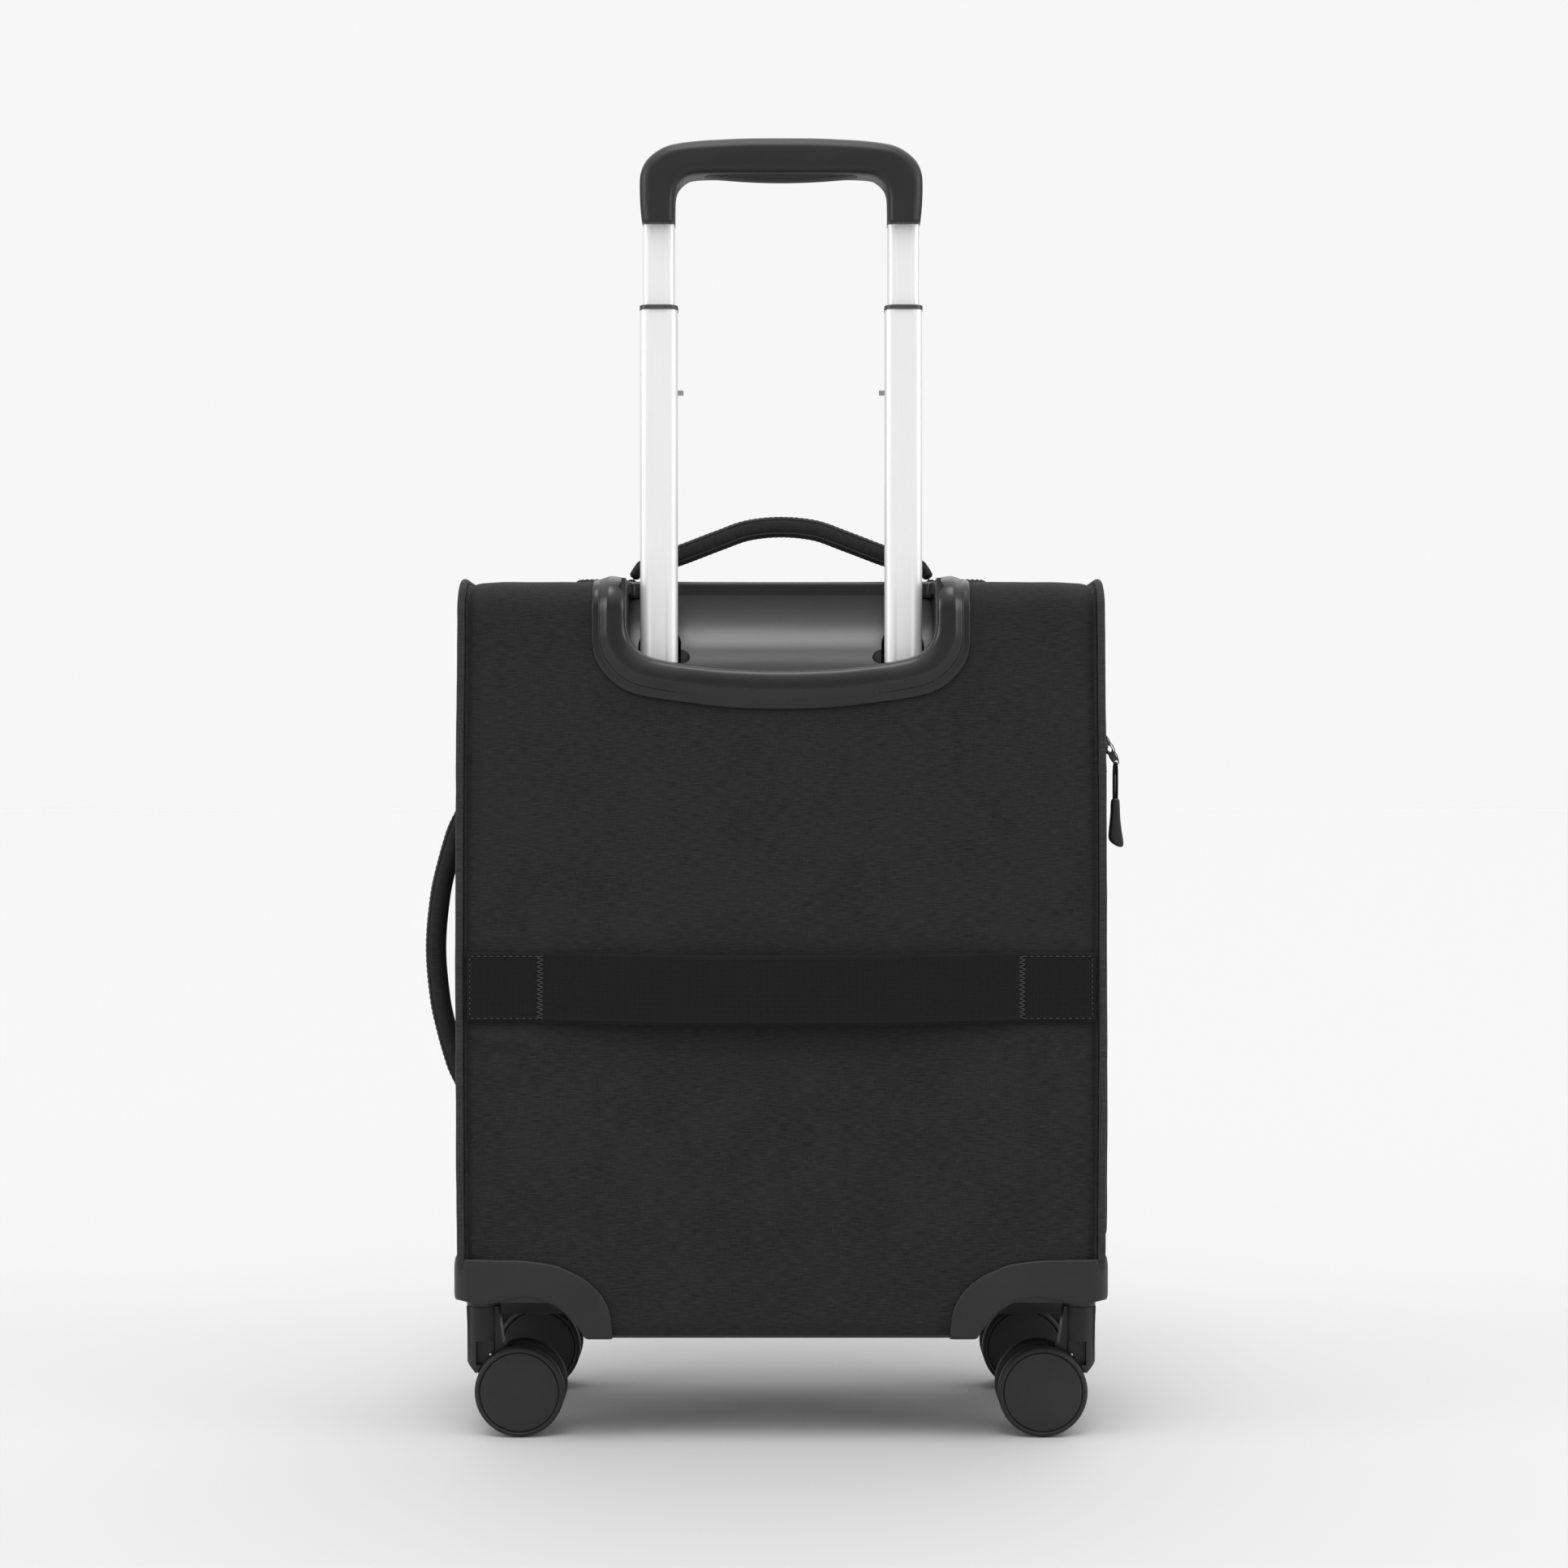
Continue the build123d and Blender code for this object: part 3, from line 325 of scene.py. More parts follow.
# ---- materials ----------------------------------------------------------------------
class Nodes:
    """A material's node tree, with short ways to add to it."""

    def __init__(self, name):
        self.material = bpy.data.materials.new(name)
        self.material.use_nodes = True
        self.tree = self.material.node_tree
        self.tree.nodes.clear()
        self.out = self.tree.nodes.new("ShaderNodeOutputMaterial")
        self.shader = self.tree.nodes.new("ShaderNodeBsdfPrincipled")
        self.link(self.shader.outputs["BSDF"], self.out.inputs["Surface"])

    def link(self, a, b):
        self.tree.links.new(a, b)

    def put(self, value, socket):
        if isinstance(value, bpy.types.NodeSocket):
            self.link(value, socket)
        else:
            socket.default_value = (*value, 1) if isinstance(value, tuple) else value

    def coords(self, kind):
        return self.tree.nodes.new("ShaderNodeTexCoord").outputs[kind]

    def split(self, vector):
        node = self.tree.nodes.new("ShaderNodeSeparateXYZ")
        self.link(vector, node.inputs[0])
        return node.outputs[0], node.outputs[1]

    def scaled(self, vector, scale):
        node = self.tree.nodes.new("ShaderNodeMapping")
        node.inputs["Scale"].default_value = scale
        self.link(vector, node.inputs["Vector"])
        return node.outputs["Vector"]

    def math(self, op, a, b=0.0):
        node = self.tree.nodes.new("ShaderNodeMath")
        node.operation = op
        self.put(a, node.inputs[0])
        self.put(b, node.inputs[1])
        return node.outputs[0]

    def noise(self, vector, scale, detail=2.0, rough=0.5):
        node = self.tree.nodes.new("ShaderNodeTexNoise")
        node.inputs["Scale"].default_value = scale
        node.inputs["Detail"].default_value = detail
        node.inputs["Roughness"].default_value = rough
        self.link(vector, node.inputs["Vector"])
        return node.outputs["Fac"]

    def cells(self, vector, scale):
        node = self.tree.nodes.new("ShaderNodeTexVoronoi")
        node.inputs["Scale"].default_value = scale
        self.link(vector, node.inputs["Vector"])
        return node.outputs["Color"]

    def ramp(self, value, low, high):
        node = self.tree.nodes.new("ShaderNodeValToRGB")
        node.color_ramp.elements[0].position = low
        node.color_ramp.elements[1].position = high
        self.link(value, node.inputs["Fac"])
        return node.outputs["Color"]

    def mix(self, factor, a, b):
        node = self.tree.nodes.new("ShaderNodeMix")
        node.data_type = "RGBA"
        self.put(factor, node.inputs[0])
        self.put(a, node.inputs[6])
        self.put(b, node.inputs[7])
        return node.outputs[2]

    def bump(self, height, distance, strength):
        node = self.tree.nodes.new("ShaderNodeBump")
        node.inputs["Distance"].default_value = distance
        node.inputs["Strength"].default_value = strength
        self.link(height, node.inputs["Height"])
        return node.outputs["Normal"]

    def finish(self, colour, rough, normal=None, **constants):
        self.put(colour, self.shader.inputs["Base Color"])
        self.put(rough, self.shader.inputs["Roughness"])
        if normal is not None:
            self.link(normal, self.shader.inputs["Normal"])
        for key, value in constants.items():
            self.shader.inputs[key.replace("_", " ")].default_value = value
        return self.material


def grey(v, warm=0.0):
    return (v * (1 + warm), v, v * (1 - warm))


def woven(name, dark, light, pitch=0.62, sheen=0.25, twill=False, rough=0.86):
    """Cloth with slubby threads, laid out by the piece's own cloth coordinates."""
    n = Nodes(name)
    flat = n.coords("UV")
    u, v = n.split(flat)
    stretch = 1.5 / pitch * 0.62
    along = n.noise(n.scaled(flat, (0.13, stretch, 1)), 1.0, 3)
    across = n.noise(n.scaled(flat, (stretch, 0.13, 1)), 1.0, 3)
    k = TAU / (2 * pitch)
    warp = n.math("MULTIPLY", u, k)
    if twill:
        over = n.math("SINE", n.math("ADD", warp, n.math("MULTIPLY", v, k * 0.6)))
    else:
        over = n.math("MULTIPLY", n.math("SINE", warp), n.math("SINE", n.math("MULTIPLY", v, k)))
    half = n.math("ADD", n.math("MULTIPLY", over, 0.5), 0.5)
    threads = n.mix(n.ramp(over, 0.45, 0.55), n.ramp(along, 0.32, 0.72), n.ramp(across, 0.32, 0.72))
    clouds = n.math("MULTIPLY", n.ramp(n.noise(flat, 0.02, 4, 0.6), 0.35, 0.7), 0.25)
    shade = n.math("MULTIPLY", n.math("SUBTRACT", 1.0, half), 0.35)
    colour = n.mix(clouds, n.mix(threads, dark, light), light)
    colour = n.mix(shade, colour, tuple(c * 0.35 for c in dark))
    height = n.math("ADD", n.math("MULTIPLY", half, 0.6), n.math("MULTIPLY", threads, 0.5))
    tone = n.math("ADD", n.math("MULTIPLY", threads, 0.1), rough - 0.06)
    return n.finish(colour, tone, n.bump(height, 0.00022, 0.55), Sheen_Weight=sheen, Sheen_Roughness=0.45,
                    Specular_IOR_Level=0.18)


def ribbed(name, dark, light, pitch):
    """Webbing: cross ribs with finer lanes along it, and a little fuzz. The grooves between the ribs are painted
    darker as shade.
    """
    n = Nodes(name)
    u, v = n.split(n.coords("UV"))
    ribs = n.math("SINE", n.math("MULTIPLY", u, TAU / pitch))
    lanes = n.math("SINE", n.math("MULTIPLY", v, TAU / (0.8 * pitch)))
    height = n.math("ADD", n.math("MULTIPLY", ribs, 0.35), n.math("MULTIPLY", lanes, 0.5))
    height = n.math("ADD", n.math("MULTIPLY", height, 0.5), 0.5)
    fuzz = n.noise(n.coords("UV"), 2.2, 3, 0.6)
    # painted shade: the rib tops are painted lighter and the grooves between them darker, speckled by the real fibre
    # fuzz
    colour = n.mix(n.math("MULTIPLY", height, n.ramp(fuzz, 0.3, 0.75)), dark, light)
    normal = n.bump(n.math("ADD", height, n.math("MULTIPLY", fuzz, 0.3)), 0.0003, 0.7)
    return n.finish(colour, 0.82, normal, Sheen_Weight=0.02, Sheen_Roughness=0.5, Specular_IOR_Level=0.15)


def moulded(name, base, rough, grain=0.6, depth=0.00006, sparkle=0.0, ior_level=0.5):
    """Moulded plastic or rubber: fine grain, slight changes of gloss, and scuffs that lighten it."""
    n = Nodes(name)
    place = n.coords("Object")
    fine = n.noise(place, 1 / (grain * MM), 3, 0.6)
    wide = n.noise(place, 22, 4, 0.6)
    scuff = n.noise(n.scaled(place, (90, 260, 60)), 1.0, 5, 0.7)
    light = tuple(min(1, c * 1.7 + 0.004) for c in base)
    colour = n.mix(n.math("MULTIPLY", n.ramp(wide, 0.3, 0.75), 0.3), base, light)
    worn = tuple(c * 2.4 + 0.006 for c in base)
    colour = n.mix(n.math("MULTIPLY", n.ramp(scuff, 0.66, 0.8), 0.25), colour, worn)
    if sparkle:
        flakes = n.ramp(n.cells(place, 1900), 0.86, 0.95)
        colour = n.mix(n.math("MULTIPLY", flakes, sparkle), colour, tuple(c * 4 + 0.03 for c in base))
    tone = n.math("ADD", n.math("MULTIPLY", wide, 0.06), rough - 0.03)
    tone = n.math("ADD", tone, n.math("MULTIPLY", n.ramp(scuff, 0.6, 0.8), 0.08))
    return n.finish(colour, tone, n.bump(fine, depth, 0.6), Specular_IOR_Level=ior_level)


def metal(name, base, rough, brush=(1, 1, 0.02), metallic=1.0):
    """Metal with faint draw lines."""
    n = Nodes(name)
    place = n.scaled(n.coords("Object"), tuple(2600 * b for b in brush))
    lines = n.noise(place, 1.0, 3, 0.6)
    wide = n.noise(n.coords("Object"), 18, 3, 0.5)
    colour = n.mix(lines, tuple(c * 0.97 for c in base), tuple(min(1, c * 1.03) for c in base))
    tone = n.math("ADD", n.math("MULTIPLY", wide, 0.1), rough - 0.05)
    return n.finish(colour, tone, n.bump(lines, 0.00002, 0.4), Metallic=metallic)


FABRIC = woven("case_cloth", grey(0.007), grey(0.030, -0.01), sheen=0.02)
FABRIC_FINE = woven("handle_cloth", grey(0.01), grey(0.034), pitch=0.5, sheen=0.04)
PIPING = woven("piping_cloth", grey(0.016), grey(0.05), pitch=0.7, sheen=0.06)
LINING = woven("lining_cloth", grey(0.1), grey(0.17), pitch=0.4, sheen=0.03, rough=0.7)
TAPE = woven("zip_cloth", grey(0.008), grey(0.022), pitch=0.7, twill=True, sheen=0.02)
WEBBING = ribbed("strap_webbing", grey(0.003), grey(0.022), pitch=1.8)
THREAD = moulded("sewing_thread", grey(0.05), 0.65, grain=0.2, ior_level=0.25)
GUARD = moulded("guard_moulding", grey(0.02), 0.4, grain=0.5, depth=0.00012, ior_level=0.22)
BEZEL = moulded("bezel_moulding", grey(0.013), 0.25, grain=0.35, depth=0.00004, sparkle=0.12,
                ior_level=0.32)
SCOOP = moulded("scoop_moulding", grey(0.018), 0.3, grain=0.4, depth=0.00004, sparkle=0.1)
GRIP = moulded("grip_moulding", grey(0.015), 0.38, grain=0.35, depth=0.0001, ior_level=0.3)
BUTTON = moulded("button_moulding", grey(0.02), 0.38, grain=0.35)
SOFT_GRIP = moulded("grip_rubber", grey(0.014), 0.6, grain=0.3, depth=0.0001)
COLLAR = moulded("collar_moulding", grey(0.045), 0.4)
CASTER = moulded("caster_moulding", grey(0.014), 0.38, grain=0.6, ior_level=0.3)
DISC = moulded("wheel_disc_moulding", grey(0.02), 0.5, grain=0.5, depth=0.0001, ior_level=0.25)
TYRE = moulded("wheel_tread_rubber", grey(0.018), 0.6, grain=0.4, depth=0.00012, ior_level=0.25)
BASE = moulded("base_moulding", grey(0.02), 0.5, grain=1.2, depth=0.00015)
BUCKLE = moulded("buckle_moulding", grey(0.02), 0.3)
BOARD = moulded("board_moulding", grey(0.12), 0.6, grain=1.0, depth=0.0001)
RUBBER = moulded("pull_rubber", grey(0.009), 0.5, grain=0.25, depth=0.00005)
TOOTH = moulded("zip_teeth", grey(0.014), 0.35)
ALUMINIUM = metal("tube_anodised", grey(0.84), 0.5, metallic=0.45)
STEEL = metal("bright_steel", grey(0.55), 0.3, brush=(1, 1, 1))
BLACK_METAL = metal("black_metal", grey(0.05), 0.28, brush=(1, 1, 1), metallic=0.8)

# ---- measures taken from the frame --------------------------------------------------
back_low, back_high = limits("back_panel")
top_low, top_high = limits("top_panel")
side_low, side_high = limits("side_panel_left")
BACK = back_high[1]                # outer face of the back
TOP = top_high[2]                  # outer face of the top
MOUTH = top_low[1]                 # front edge of the top and side panels
SEAM = back_high[0]                # where the back meets the piping
FOOT = back_low[2]                 # lower edge of the back
SIDE = side_high[0]                # outer face of a side panel
EDGE = TOP - back_high[2]          # radius between back and top
RISE = back_high[2] - FOOT
ARC = EDGE * math.pi / 2
REACH = BACK - EDGE - MOUTH
guard_low, guard_high = limits("corner_guard_back_left")
GUARD_OUT, GUARD_FACE, GUARD_TOP = guard_high
GUARD_IN = guard_low[0]
strap_low, strap_high = limits("back_strap")
STRAP_FOOT, STRAP_HEAD = strap_low[2], strap_high[2]
RECESS_HALF = 102                  # half width of the cloth's cut-out for the pull handle
RECESS_FOOT = 478 - FOOT
RECESS_BACK = RISE + ARC + (BACK - EDGE) - 52


def wrap_place(x, v, out=0.0):
    """Point at x and distance v up the back and over the top, out millimetres off it, and the normal there."""
    x, v, out = np.broadcast_arrays(np.asarray(x, float), np.asarray(v, float), np.asarray(out, float))
    a = np.clip((v - RISE) / EDGE, 0, math.pi / 2)
    over = np.maximum(v - RISE - ARC, 0)
    y = BACK - EDGE + EDGE * np.cos(a) - over
    z = FOOT + np.minimum(v, RISE) + EDGE * np.sin(a)
    ny, nz = np.cos(a), np.sin(a)
    return np.stack([x, y + ny * out, z + nz * out], -1), np.stack([x * 0, ny, nz], -1)


def guard_edge(x):
    """Height of a guard's upper edge at a distance x from the middle of the case."""
    xs = [105, 106.2, 108.9, 114.3, 123.3, 132.4, 141.4, 159.5, 177.5, 203]
    zs = [70.7, 81.4, 89.6, 97.7, 105.4, 109.9, 113.5, 116.2, 116.7, 117]
    return np.interp(x, xs, zs)


def fold(x, z, cx, cz, angle, length, width, height):
    """A soft ridge on the cloth, centred at cx, cz."""
    c, s = math.cos(math.radians(angle)), math.sin(math.radians(angle))
    a, b = (x - cx) * c + (z - cz) * s, -(x - cx) * s + (z - cz) * c
    return height * np.exp(-(a / length) ** 2 - (b / width) ** 2)


# ---- back and top panel, one piece of cloth over foam -------------------------------
def seam_x(z):
    """Half width of the back at the seam: it swells a little at middle height."""
    return SEAM + 0.4 + 1.5 * np.sin(np.clip((z - FOOT) / (TOP - FOOT), 0, 1) * math.pi)


def back_relief(x, v):
    """How far the back's cloth stands off its plane."""
    z = FOOT + v
    edge = np.abs(x) / seam_x(np.minimum(z, TOP)) * SEAM
    gap = SEAM - edge
    roll = -2.4 * (1 - smooth(0, 8, gap)) - 0.9 * (1 - smooth(4, 26, gap))
    out = roll - 0.5
    out = out + fold(x, z, 176, 254, 8, 20, 3.2, 1.5) + fold(x, z, 170, 246, -6, 16, 3.0, -1.0)
    out = out + fold(x, z, -172, 256, -8, 18, 3.4, 0.7)
    out = out + fold(x, z, 178, 316, -12, 14, 3.0, 0.6) + fold(x, z, -176, 317, 10, 14, 3.0, 0.5)
    for i, cz in enumerate((126, 133, 141, 150)):
        out = out + fold(x, z, 184 - 3 * i, cz, 16 + 4 * i, 15, 1.9, 0.9 - 0.15 * i)
        out = out + fold(x, z, -186 + 3 * i, cz + 3, -14 - 4 * i, 12, 1.9, 0.45)
    for i in range(15):
        cz = 175 + i * 21.5
        out = out + fold(x, z, 191, cz, 14, 8, 2.2, 0.35) + fold(x, z, -191, cz + 7, -12, 8, 2.2, 0.35)
    under = smooth(STRAP_FOOT - 6, STRAP_FOOT - 1, z) * smooth(STRAP_HEAD + 6, STRAP_HEAD + 1, z)
    out = out * (1 - under) + np.minimum(out, -0.5) * under
    out = out - 1.2 * (1 - smooth(0, 7, v))
    top = smooth(RISE + ARC, RISE + ARC + 50, v)
    crown = 2.6 * (1 - (np.abs(x) / SEAM) ** 2.4) * top * (1 - 0.4 * smooth(RISE + ARC + 90, RISE + ARC + 150, v))
    return out + crown


columns = np.unique(np.r_[np.linspace(-SEAM, SEAM, 99), -RECESS_HALF, RECESS_HALF,
                          [s * (SEAM - d) for s in (-1, 1) for d in (1.2, 2.6, 5)]])
lines = np.unique(np.r_[np.linspace(0, RISE, 116), np.linspace(RISE, RISE + ARC, 9),
                        np.linspace(RISE + ARC, RISE + ARC + REACH, 40), RECESS_FOOT, RECESS_BACK, 1.5])
gx, gv = np.meshgrid(columns, lines)
swell = gx / SEAM * seam_x(FOOT + np.minimum(gv, RISE + ARC))
relief = back_relief(gx, gv)
base, normals = wrap_place(swell, gv)
relief = relief + 0.35 * noisy(base, 0.018, 1) + 0.16 * noisy(base, 0.06, 2)
# the sewn feet of the carry handle hold the top down
CARRY_Y = sum(c[1] for c in limits("top_handle")) / 2
held = np.exp(-((base[..., 1] - CARRY_Y) / 22.0) ** 4) * smooth(RISE + ARC, RISE + ARC + 4, gv)
held = held * smooth(72, 84, np.abs(gx)) * smooth(146, 128, np.abs(gx))
relief = relief * (1 - held) - 1.8 * held


def wrap_hole(i, j):
    x = (columns[j] + columns[j + 1]) / 2
    v = (lines[i] + lines[i + 1]) / 2
    if abs(x) < RECESS_HALF and RECESS_FOOT < v < RECESS_BACK:
        return True
    return abs(x) > GUARD_IN + 8 and FOOT + v < guard_edge(abs(x)) - 7


grid("case_wrap", base + normals * relief[..., None], "case", FABRIC, "case_fabric", hole=wrap_hole, thick=3.4,
     flip=True, subdivide=1, replaces=("back_panel", "top_panel"), lining=LINING)

# ---- side panels --------------------------------------------------------------------
handle_low, handle_high = limits("side_handle")
HANDLE_MID = (handle_low[2] + handle_high[2]) / 2
HANDLE_DEPTH = (handle_low[1] + handle_high[1]) / 2
for side, word in ((1, "left"), (-1, "right")):
    gy, gz = np.meshgrid(np.linspace(MOUTH, BACK - 1.5, 46), np.linspace(GUARD_TOP - 23, TOP - 1.5, 114))
    # the top corner at the back is rounded like the wrap
    centre_y, centre_z = BACK - EDGE, TOP - EDGE
    oy, oz = np.maximum(gy - centre_y, 0), np.maximum(gz - centre_z, 0)
    far = np.hypot(oy, oz)
    pull = np.where(far > 0, np.maximum(oy, oz) / np.maximum(far, 1e-6), 1)
    corner = (oy > 0) & (oz > 0)
    py, pz = np.where(corner, centre_y + oy * pull, gy), np.where(corner, centre_z + oz * pull, gz)
    gap_back = np.minimum(BACK - 1.5 - gy, TOP - 1.5 - gz)
    bulge = 3.2 * smooth(0, 60, gap_back) * smooth(0, 40, gy - MOUTH)
    bulge = bulge - 2.2 * (1 - smooth(0, 7, gap_back))
    if side > 0:
        pad = np.exp(-((gy - HANDLE_DEPTH) / 24.0) ** 2) * smooth(98, 84, np.abs(gz - HANDLE_MID))
        bulge = bulge + 1.6 * pad
        # the sewn feet of the handle hold the cloth down
        off = np.abs(gz - HANDLE_MID)
        held = np.exp(-((gy - HANDLE_DEPTH) / 24.0) ** 4) * smooth(62, 76, off) * smooth(132, 114, off)
        bulge = bulge * (1 - held) - 1.8 * held
    seam = seam_x(gz) - SEAM - 0.4
    px = SIDE - 0.4 + bulge + seam * 0.6
    pts = track(side * px, py, pz)
    px = px + 0.5 * noisy(pts, 0.02, 3 + side) + 0.18 * noisy(pts, 0.07, 5 + side)
    grid(f"side_cloth_{word}", track(side * px, py, pz), "case", FABRIC, "case_fabric", thick=3.2, subdivide=1,
         flip=side < 0,
         replaces=(f"side_panel_{word}",), lining=LINING)

    # corded seam along the back and over the top
    route = [(BACK - 0.9, z) for z in np.linspace(GUARD_TOP - 6, TOP - EDGE, 60)]
    route += [(BACK - EDGE + (EDGE - 0.9) * math.cos(a), TOP - EDGE + (EDGE - 0.9) * math.sin(a))
              for a in np.linspace(0, math.pi / 2, 12)[1:]]
    route += [(y, TOP - 0.9) for y in np.linspace(BACK - EDGE, MOUTH + 2, 40)[1:]]
    path = np.array([(side * (seam_x(z) + 2.9), y, z) for y, z in route])
    path[:, 0] += side * 0.25 * noisy(path, 0.05, 9)
    wobble = 1 + 0.05 * noisy(path, 0.12, 11)
    rod(f"piping_cord_{word}", path, (side, 0, 0), (2.35, 2.35), "case", PIPING, "piping_fabric", sides=14,
        scale=[(w, w) for w in wobble], replaces=(f"piping_{word}",))

# ---- bezel round the recess of the pull handle --------------------------------------
bezel_low, bezel_high = limits("handle_bezel")
BEZEL_FOOT = bezel_low[2]
OVER = RISE + ARC + BACK - EDGE          # distance up the wrap where y would be 0


def v_of(z):
    """Distance up the wrap at a height on the back."""
    return z - FOOT


pairs = [
    ((0, v_of(BEZEL_FOOT)), (0, v_of(483.3))),
    ((32, v_of(460.3)), (32, v_of(484.2))),
    ((56, v_of(463)), (55, v_of(486.4))),
    ((74, v_of(465.6)), (70, v_of(488.6))),
    ((89.2, v_of(468.4)), (81, v_of(491))),
    ((99.2, v_of(472.4)), (88, v_of(494.4))),
    ((107.6, v_of(479)), (93, v_of(499))),
    ((114.3, v_of(487.4)), (96, v_of(505))),
    ((117.6, v_of(497)), (97, v_of(511))),
    ((118, v_of(509)), (97.2, v_of(518))),
    ((118, RISE + 6), (97.2, RISE + 6)),
    ((117.8, RISE + 30), (97.2, RISE + 26)),
    ((116.6, OVER - 56), (96.6, OVER - 61)),
    ((111, OVER - 48.5), (93.5, OVER - 56)),
    ((101, OVER - 46.4), (87, OVER - 54.2)),
    ((84, OVER - 46), (76, OVER - 54)),
    ((40, OVER - 46), (40, OVER - 54)),
    ((0, OVER - 46), (0, OVER - 54)),
]
half_ring = [(*outer, *inner) for outer, inner in pairs]
ring = half_ring + [(-a, b, -c, d) for a, b, c, d in half_ring[-2:0:-1]]
ring = curve_through(ring, 260, closed=True)
# the ring's section from its inner lip (0) to its outer edge (1), stepped at the sides and plain in the middle
LIP = [(-0.06, -9.0), (-0.045, -4.0), (-0.03, -0.6), (-0.01, 1.6), (0.03, 2.9), (0.09, 3.9)]
profile = [
    *LIP, (0.2, 5.0), (0.33, 5.7),
    (0.44, 5.9), (0.5, 5.85), (0.53, 5.6), (0.58, 4.9), (0.66, 3.9), (0.72, 3.3), (0.745, 2.9), (0.76, 2.2),
    (0.785, 1.7), (0.85, 1.6), (0.93, 1.5), (0.975, 1.2), (1.0, 0.6), (1.005, -0.6),
]
plain = [
    *LIP, (0.2, 4.8), (0.33, 5.3),
    (0.44, 5.45), (0.5, 5.35), (0.53, 5.25), (0.58, 5.0), (0.66, 4.5), (0.72, 4.0), (0.745, 3.75), (0.76, 3.6),
    (0.785, 3.3), (0.85, 2.7), (0.93, 2.0), (0.975, 1.4), (1.0, 0.6), (1.005, -0.6),
]
rows = []
for ox, ov, ix, iv in ring:
    mid = (abs(ox) + abs(ix)) / 2
    stepped = float(smooth(52, 74, mid))
    low = float(smooth(RISE + 4, RISE + ARC + 6, (ov + iv) / 2))
    row = []
    for (t, h), (_, h_plain) in zip(profile, plain):
        h = h_plain + (h - h_plain) * stepped
        h = h * (1 - 0.55 * low) if h > 0 else h
        point, _ = wrap_place(ix + (ox - ix) * t, iv + (ov - iv) * t, h)
        row.append(point)
    rows.append(row)
grid("bezel_shell", rows, "case", BEZEL, "bezel_plastic", loop=True, flip=True, thick=1.6, subdivide=1,
     replaces=("handle_bezel",))

# ---- corner guards ------------------------------------------------------------------
arch = [(203.7, 90.6), (199, 88.7), (183.8, 88.7), (174.8, 90.5), (166.6, 92.3), (157.6, 93), (148.6, 91.5),
        (139.6, 87.3), (132.4, 81.5), (126.9, 75), (123.3, 69.7), (121.8, 67.4)]
crest = [(203, 117), (177.5, 116.7), (159.5, 116.2), (141.4, 113.5), (132.4, 109.9), (123.3, 105.4),
         (114.3, 97.7),
         (108.9, 89.6), (106.2, 81.4), (105, 70.7), (104.8, 67.4)]
ROUND = 13                      # the guard's own upright corner
FLAT_END = GUARD_OUT - ROUND    # where the flat wing ends
GUARD_PROFILE = (
    (0.0, -2.4), (0.0, -1.1), (0.015, -0.5), (0.05, -0.25), (0.14, 0.1), (0.19, 0.28), (0.24, 0.3), (0.5, 0.3),
    (0.76, 0.3), (0.88, 0.25), (0.95, 0.0), (0.985, -0.4), (1.0, -1.0), (1.0, -2.4),
)
wing = curve_through([(*c, *a) for c, a in zip([crest[0], (190, 117), *crest[1:]], arch)], 46)
for side, word in ((1, "left"), (-1, "right")):
    for face, depth in ((1, "back"), (-1, "front")):
        node = f"corner_guard_{depth}_{word}"
        low, high = limits(node)
        plane_y = high[1] if face > 0 else low[1]
        side_len = high[1] - low[1] - ROUND

        def guard_point(kind, at, z, out):
            if kind == "flat":
                return (side * min(at, FLAT_END), plane_y + face * out, z)
            if kind == "turn":
                r = ROUND + out
                return (side * (FLAT_END + r * math.sin(at)), plane_y - face * (ROUND - r * math.cos(at)), z)
            return (side * (GUARD_OUT + out), plane_y - face * (ROUND + at), z)

        # one wing seen from the back, the corner, then the wing along the side
        stations = [("flat", (cx, min(ax, FLAT_END)), (cz, az))
                    for cx, cz, ax, az in wing[::-1] if cx <= FLAT_END]
        stations += [("turn", (a, a), (117, 89.6 + 1.2 * math.sin(2 * a)))
                     for a in np.linspace(0, math.pi / 2, 9)[1:-1]]
        stations += [("side", ((203 - cx) / 98.2 * side_len, (203.7 - ax) / 81.9 * side_len * 0.83), (cz, az))
                     for cx, cz, ax, az in wing]
        rows = [[guard_point(kind, at_c + (at_a - at_c) * t, zc + (za - zc) * t, out - 0.3)
                 for t, out in GUARD_PROFILE]
                for kind, (at_c, at_a), (zc, za) in stations]
        grid(f"guard_{depth}_{word}", rows, "case", GUARD, "guard_plastic", thick=1.2, subdivide=1,
             flip=(side * face) > 0, replaces=(node,))

# ---- luggage strap ------------------------------------------------------------------
STRAP_BOW = strap_high[1] - BACK
SEWN = 150                      # the strap is loose between these two rows of stitches


def loose(x):
    """1 in the middle of the strap and 0 where it is sewn down."""
    return np.clip(1 - (np.abs(x) / SEWN) ** 2, 0, 1)


def strap_out(x, z):
    """How far the outer face of the strap stands off the back."""
    lower = (STRAP_HEAD - z) / (STRAP_HEAD - STRAP_FOOT)
    stand = loose(x) ** 0.8 * (STRAP_BOW - 2.2) * (0.82 + 0.18 * lower)
    return 1.5 + stand - 0.9 * (1 - smooth(0, 5, SEAM - np.abs(x)))


